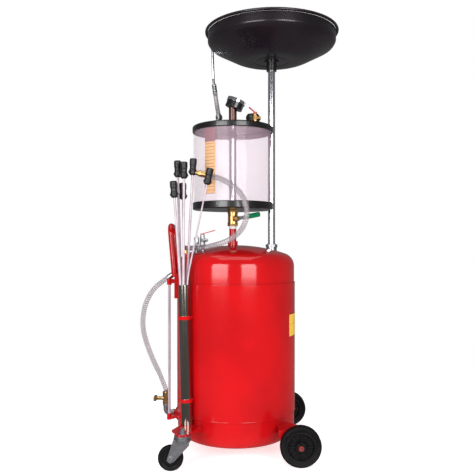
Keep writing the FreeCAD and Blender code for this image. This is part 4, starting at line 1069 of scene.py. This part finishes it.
@dataclass
class ProbeGrips:
    """Coupling grips of the six probes, each with a pair of lugs.

    Args:
        outline: (radius, height) corners in millimetres, about the grip's middle.
        lug: Reach, thickness and height of a pair of lugs.
        lug_at: Height of the lugs' middle.
    """

    outline: tuple = ((0.0, -26.5), (6.0, -26.5), (9.0, -25.0), (11.4, -21.5), (11.6, -15.8), (11.1, -15.2),
                      (11.6, -14.6), (11.5, -10.0), (10.2, -6.0), (10.2, 3.5), (11.3, 6.5), (11.4, 12.9),
                      (11.0, 13.3), (11.4, 13.7), (11.3, 23.5), (9.0, 26.5), (0.0, 26.5))
    lug: tuple = (13.6, 5.0, 7.0)
    lug_at: float = -16.0

    def build(self) -> None:
        """All the grips as one piece, each on its CAD solid's own line."""
        pieces = []
        reach, thick, tall = (value * MM for value in self.lug)
        plate = oblong(-reach, reach, thick)
        for points in islands("probe_grips"):
            centre, axis, broad = lie_of(points)
            pieces.append(ring_of("grip", list(self.outline), 0.4, centre, tuple(axis), False, 48))
            foot = centre + axis * (self.lug_at * MM - tall / 2)
            pieces.append(prism("lug", plate, foot, tuple(axis), tall, tuple(broad), 0.001))
        settle(joined("grips", pieces), MOULDED, "tank", "probe_grips")


@dataclass
class MeasuringChamber:
    """Lid and base ring of the clear chamber.

    Args:
        lid: (radius, height) corners in millimetres under the lid's top.
        tray: Corners over the base ring's underside.
    """

    lid: tuple = ((0.0, 0.0), (117.0, 0.0), (119.0, -1.3), (123.0, -1.3), (125.0, 0.0), (134.0, 0.0),
                  (137.3, -3.0), (137.3, -17.5), (136.2, -20.0), (134.8, -20.0), (134.8, -4.0), (0.0, -4.0))
    tray: tuple = ((13.0, 0.0), (100.0, 0.0), (102.0, 1.2), (106.0, 1.2), (108.0, 0.0), (133.5, 0.0),
                   (136.3, 2.6), (136.3, 22.0), (135.6, 24.0), (134.8, 24.0), (134.8, 4.0), (13.0, 4.0))

    def build(self) -> None:
        """Both pressings, turned about the chamber's axis."""
        axis = middle("chamber_tube") * (1, 1, 0)
        radii = [0, 0.8, 0.8, 0.8, 0.8, 2.0, 2.0, 1.0, 0.6, 0.5, 0.8, 0]
        lid = ring_of("lid_pressing", list(self.lid), radii, axis + (0, 0, top("chamber_lid")), ring=False)
        settle(lid, BLACK_GLOSS, "tank", "chamber_lid")
        radii[0] = radii[-1] = 0.3
        tray = ring_of("base_pressing", list(self.tray), radii, axis + (0, 0, bottom("chamber_base_ring")))
        settle(tray, BLACK_GLOSS, "tank", "chamber_base_ring")


@dataclass
class ValveSleeve:
    """Dipped sleeve on the chamber valve's lever.

    Args:
        long: Length in millimetres.
        broad: Height of its face.
        thick: Thickness.
        corner: Radius of its outline's corners.
        edge: Width of the rounding all round.
    """

    long: float = 50.0
    broad: float = 17.0
    thick: float = 9.0
    corner: float = 6.0
    edge: float = 3.0

    def build(self) -> None:
        """The sleeve, laid on the CAD sleeve's own directions."""
        centre, along, broad = lie_of(islands("chamber_lever_sleeve")[0])
        normal = np.cross(along, broad)
        half = self.long / 2
        outline = rounded(oblong(-half, half, self.broad), [self.corner] * 4) * MM
        piece = prism("lever_sleeve", outline, centre - normal * self.thick / 2 * MM, tuple(normal),
                      self.thick * MM, tuple(along), self.edge * MM)
        piece.modifiers["edge"].segments = 5
        settle(piece, GREEN, "chamber_lever", "chamber_lever_sleeve")


@dataclass
class LidFittings:
    """Gauge dial with its marks, the silencer's fins and the wand's crimped sleeve.

    Args:
        axis: Direction the gauge faces.
        dial_radius: Radius of the dial, in millimetres.
        dial_back: Distance from the bezel's middle back to the dial.
        marks: Number of spaces between marks, round three quarters of the dial.
        mark_edge: Radius where every mark ends.
        long_mark: Length and width of every fourth mark.
        short_mark: Length and width of the others.
        grooves: Number of grooves round the silencer.
        crimp: (radius, height) corners of the wand's sleeve about its middle.
    """

    axis: Vector3 = (0.374607, 0.0, 0.927184)
    dial_radius: float = 26.6
    dial_back: float = 11.5
    marks: int = 28
    mark_edge: float = 25.0
    long_mark: tuple = (5.0, 0.9)
    short_mark: tuple = (2.8, 0.45)
    grooves: int = 3
    crimp: tuple = ((0.0, -23.0), (7.0, -23.0), (8.5, -21.5), (8.5, -14.0), (7.5, -13.0), (7.5, -10.0),
                    (8.5, -9.0), (8.5, -3.0), (7.5, -2.0), (7.5, 1.0), (8.5, 2.0), (8.5, 9.0), (7.5, 10.0),
                    (7.5, 13.0), (8.5, 14.0), (8.5, 21.0), (7.0, 23.0), (0.0, 23.0))

    def dial(self) -> None:
        """Pale dial and its radial marks, under the pointer."""
        axis = np.array(self.axis)
        across, along, _ = basis(axis)
        face = middle("gauge_bezel") - axis * self.dial_back * MM
        corners = [(1.6, 0.05), (self.dial_radius, 0.05), (self.dial_radius, 0.6), (1.6, 0.6)]
        disc = ring_of("dial", corners, 0.1, face, self.axis)
        settle(disc, DIAL, "tank")
        marks = []
        for k in range(self.marks + 1):
            angle = math.radians(-45.0 + 270.0 * k / self.marks)
            out = across * math.cos(angle) + along * math.sin(angle)
            long, wide = self.short_mark if k % 4 else self.long_mark
            outline = oblong(self.mark_edge - long, self.mark_edge, wide) * MM
            marks.append(prism("mark", outline, face + axis * 0.6 * MM, self.axis, 0.0002, tuple(out)))
        settle(joined("dial_marks", marks), POINTER, "tank")

    def silencer(self) -> list:
        """(radius, height) corners of the silencer, in millimetres."""
        corners = [(0.0, 0.0), (21.5, 0.0), (23.5, 2.0)]
        for rise in 7.5 * np.arange(self.grooves):
            corners += [(23.5, 6.0 + rise), (22.0, 7.0 + rise), (22.0, 9.0 + rise), (23.5, 10.0 + rise)]
        return corners + [(23.5, 33.0), (19.0, 40.5), (12.0, 42.0), (0.0, 42.0)]

    def build(self) -> None:
        """Dial, silencer and crimped sleeve."""
        self.dial()
        foot = middle("muffler") * (1, 1, 0) + (0, 0, bottom("muffler"))
        silencer = ring_of("silencer", self.silencer(), 0.5, foot, ring=False, around=64)
        settle(silencer, MOULDED, "tank", "muffler")
        centre, axis, _ = lie_of(islands("wand_sleeve")[0])
        sleeve = ring_of("crimped_sleeve", list(self.crimp), 0.5, centre, tuple(axis), False, 48)
        settle(sleeve, ZINC, "tank", "wand_sleeve")


@dataclass
class CatchBowl:
    """Pressed bowl with a smooth wall, rings in its floor and a rolled rim.

    Args:
        sheet: Thickness in millimetres.
        outside: (radius, height) corners of the outside.
        bends: Radius of each corner.
        bead: Radius of the rolled rim.
    """

    sheet: float = 1.5
    outside: tuple = ((12.6, 0.0), (52.0, 0.0), (55.0, 1.4), (60.0, 1.4), (63.0, 0.0), (117.0, 0.0),
                      (218.0, 53.0), (225.9, 66.0), (225.9, 97.0))
    bends: tuple = (0.0, 1.5, 1.5, 1.5, 1.5, 130.0, 26.0, 12.0, 0.0)
    bead: float = 5.0

    def build(self) -> None:
        """Wall and rim as one piece.

        The inside is the outside moved by the sheet along each point's own normal.
        """
        outer = rounded(list(self.outside), list(self.bends), 8, closed=False)
        slope = unit(np.gradient(outer, axis=0))
        inner = outer + np.stack([-slope[:, 1], slope[:, 0]], axis=1) * self.sheet
        foot = middle("catch_bowl") * (1, 1, 0) + (0, 0, bottom("catch_bowl"))
        wall = turned("wall", np.vstack([outer, inner[::-1]]) * MM, foot, around=192, ring=True)
        radius = plan_radius("catch_bowl") - self.bead * MM
        angles = np.linspace(0.0, TURN, 20, endpoint=False)
        section = np.stack([np.cos(angles), np.sin(angles)], axis=1) * self.bead * MM
        section += (radius, top("catch_bowl") - bottom("catch_bowl") - self.bead * MM)
        rim = turned("rim", section, foot, around=192, ring=True)
        settle(joined("bowl_pressing", [wall, rim]), BOWL_BLACK, "bowl", "catch_bowl")


SUB_ASSEMBLIES = [PressureTank(), axle_wheel("right"), axle_wheel("left"), caster_wheel("right"),
                  caster_wheel("left"), ProbeGrips(), MeasuringChamber(), ValveSleeve(), LidFittings(),
                  CatchBowl()]

CARRIED_OVER = {
    ENAMEL: ("tank_shell", "tank_top_head", "tank_bottom_head", "push_handle", "axle_brackets",
             "caster_brackets", "storage_tube_bands", "riser_pipe", "sight_fittings"),
    AXLE_END: ("stub_axles",),
    BLACKENED: ("axle_washers_and_pins",),
    DIPPED_RED: ("air_valve_lever", "vacuum_valve_lever"),
    BLACK_GLOSS: ("bowl_clamp_nut", "gauge_case"),
    CHROME: ("drain_pole", "chamber_centre_tube", "gauge_bezel", "wand_pipe"),
    STORE_CHROME: ("probe_storage_tube",),
    ZINC: ("chamber_valve_lever", "drain_elbow", "return_fitting", "wand_inlet_elbow",
           "pole_gland", "bowl_strainer", "safety_valve", "air_valve_body"),
    ZINC_LOW: ("caster_stems", "caster_fork_right", "caster_fork_left"),
    POST_METAL: ("gauge_post",),
    BRASS: ("chamber_valve_body", "chamber_valve_ball", "drain_valve_body", "drain_valve_handle",
            "suction_elbow", "suction_coupling", "vacuum_valve_body"),
    CLEAR: ("chamber_tube",),
    STRIP: ("scale_strip",),
    SIGHT: ("sight_tube",),
    LENS: ("gauge_lens",),
    NYLON: ("probe_tubes",),
    GASKET: ("chamber_gaskets",),
    POINTER: ("gauge_pointer",),
}


def dress_frame() -> None:
    """Gives every CAD node that is carried over its finish."""
    for finish, nodes in CARRIED_OVER.items():
        for name in nodes:
            dress(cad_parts[name], finish)


def main() -> None:
    """Builds the studio, the hoses and every sub-assembly in order."""
    logging.basicConfig(level=logging.INFO, format="%(name)s: %(message)s")
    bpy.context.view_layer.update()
    studio = Studio()
    studio.camera()
    for hose in HOSES:
        hose.build()
    for assembly in SUB_ASSEMBLIES:
        assembly.build()
    studio.lights()
    studio.floor()
    dress_frame()


if __name__ == "__main__":
    main()
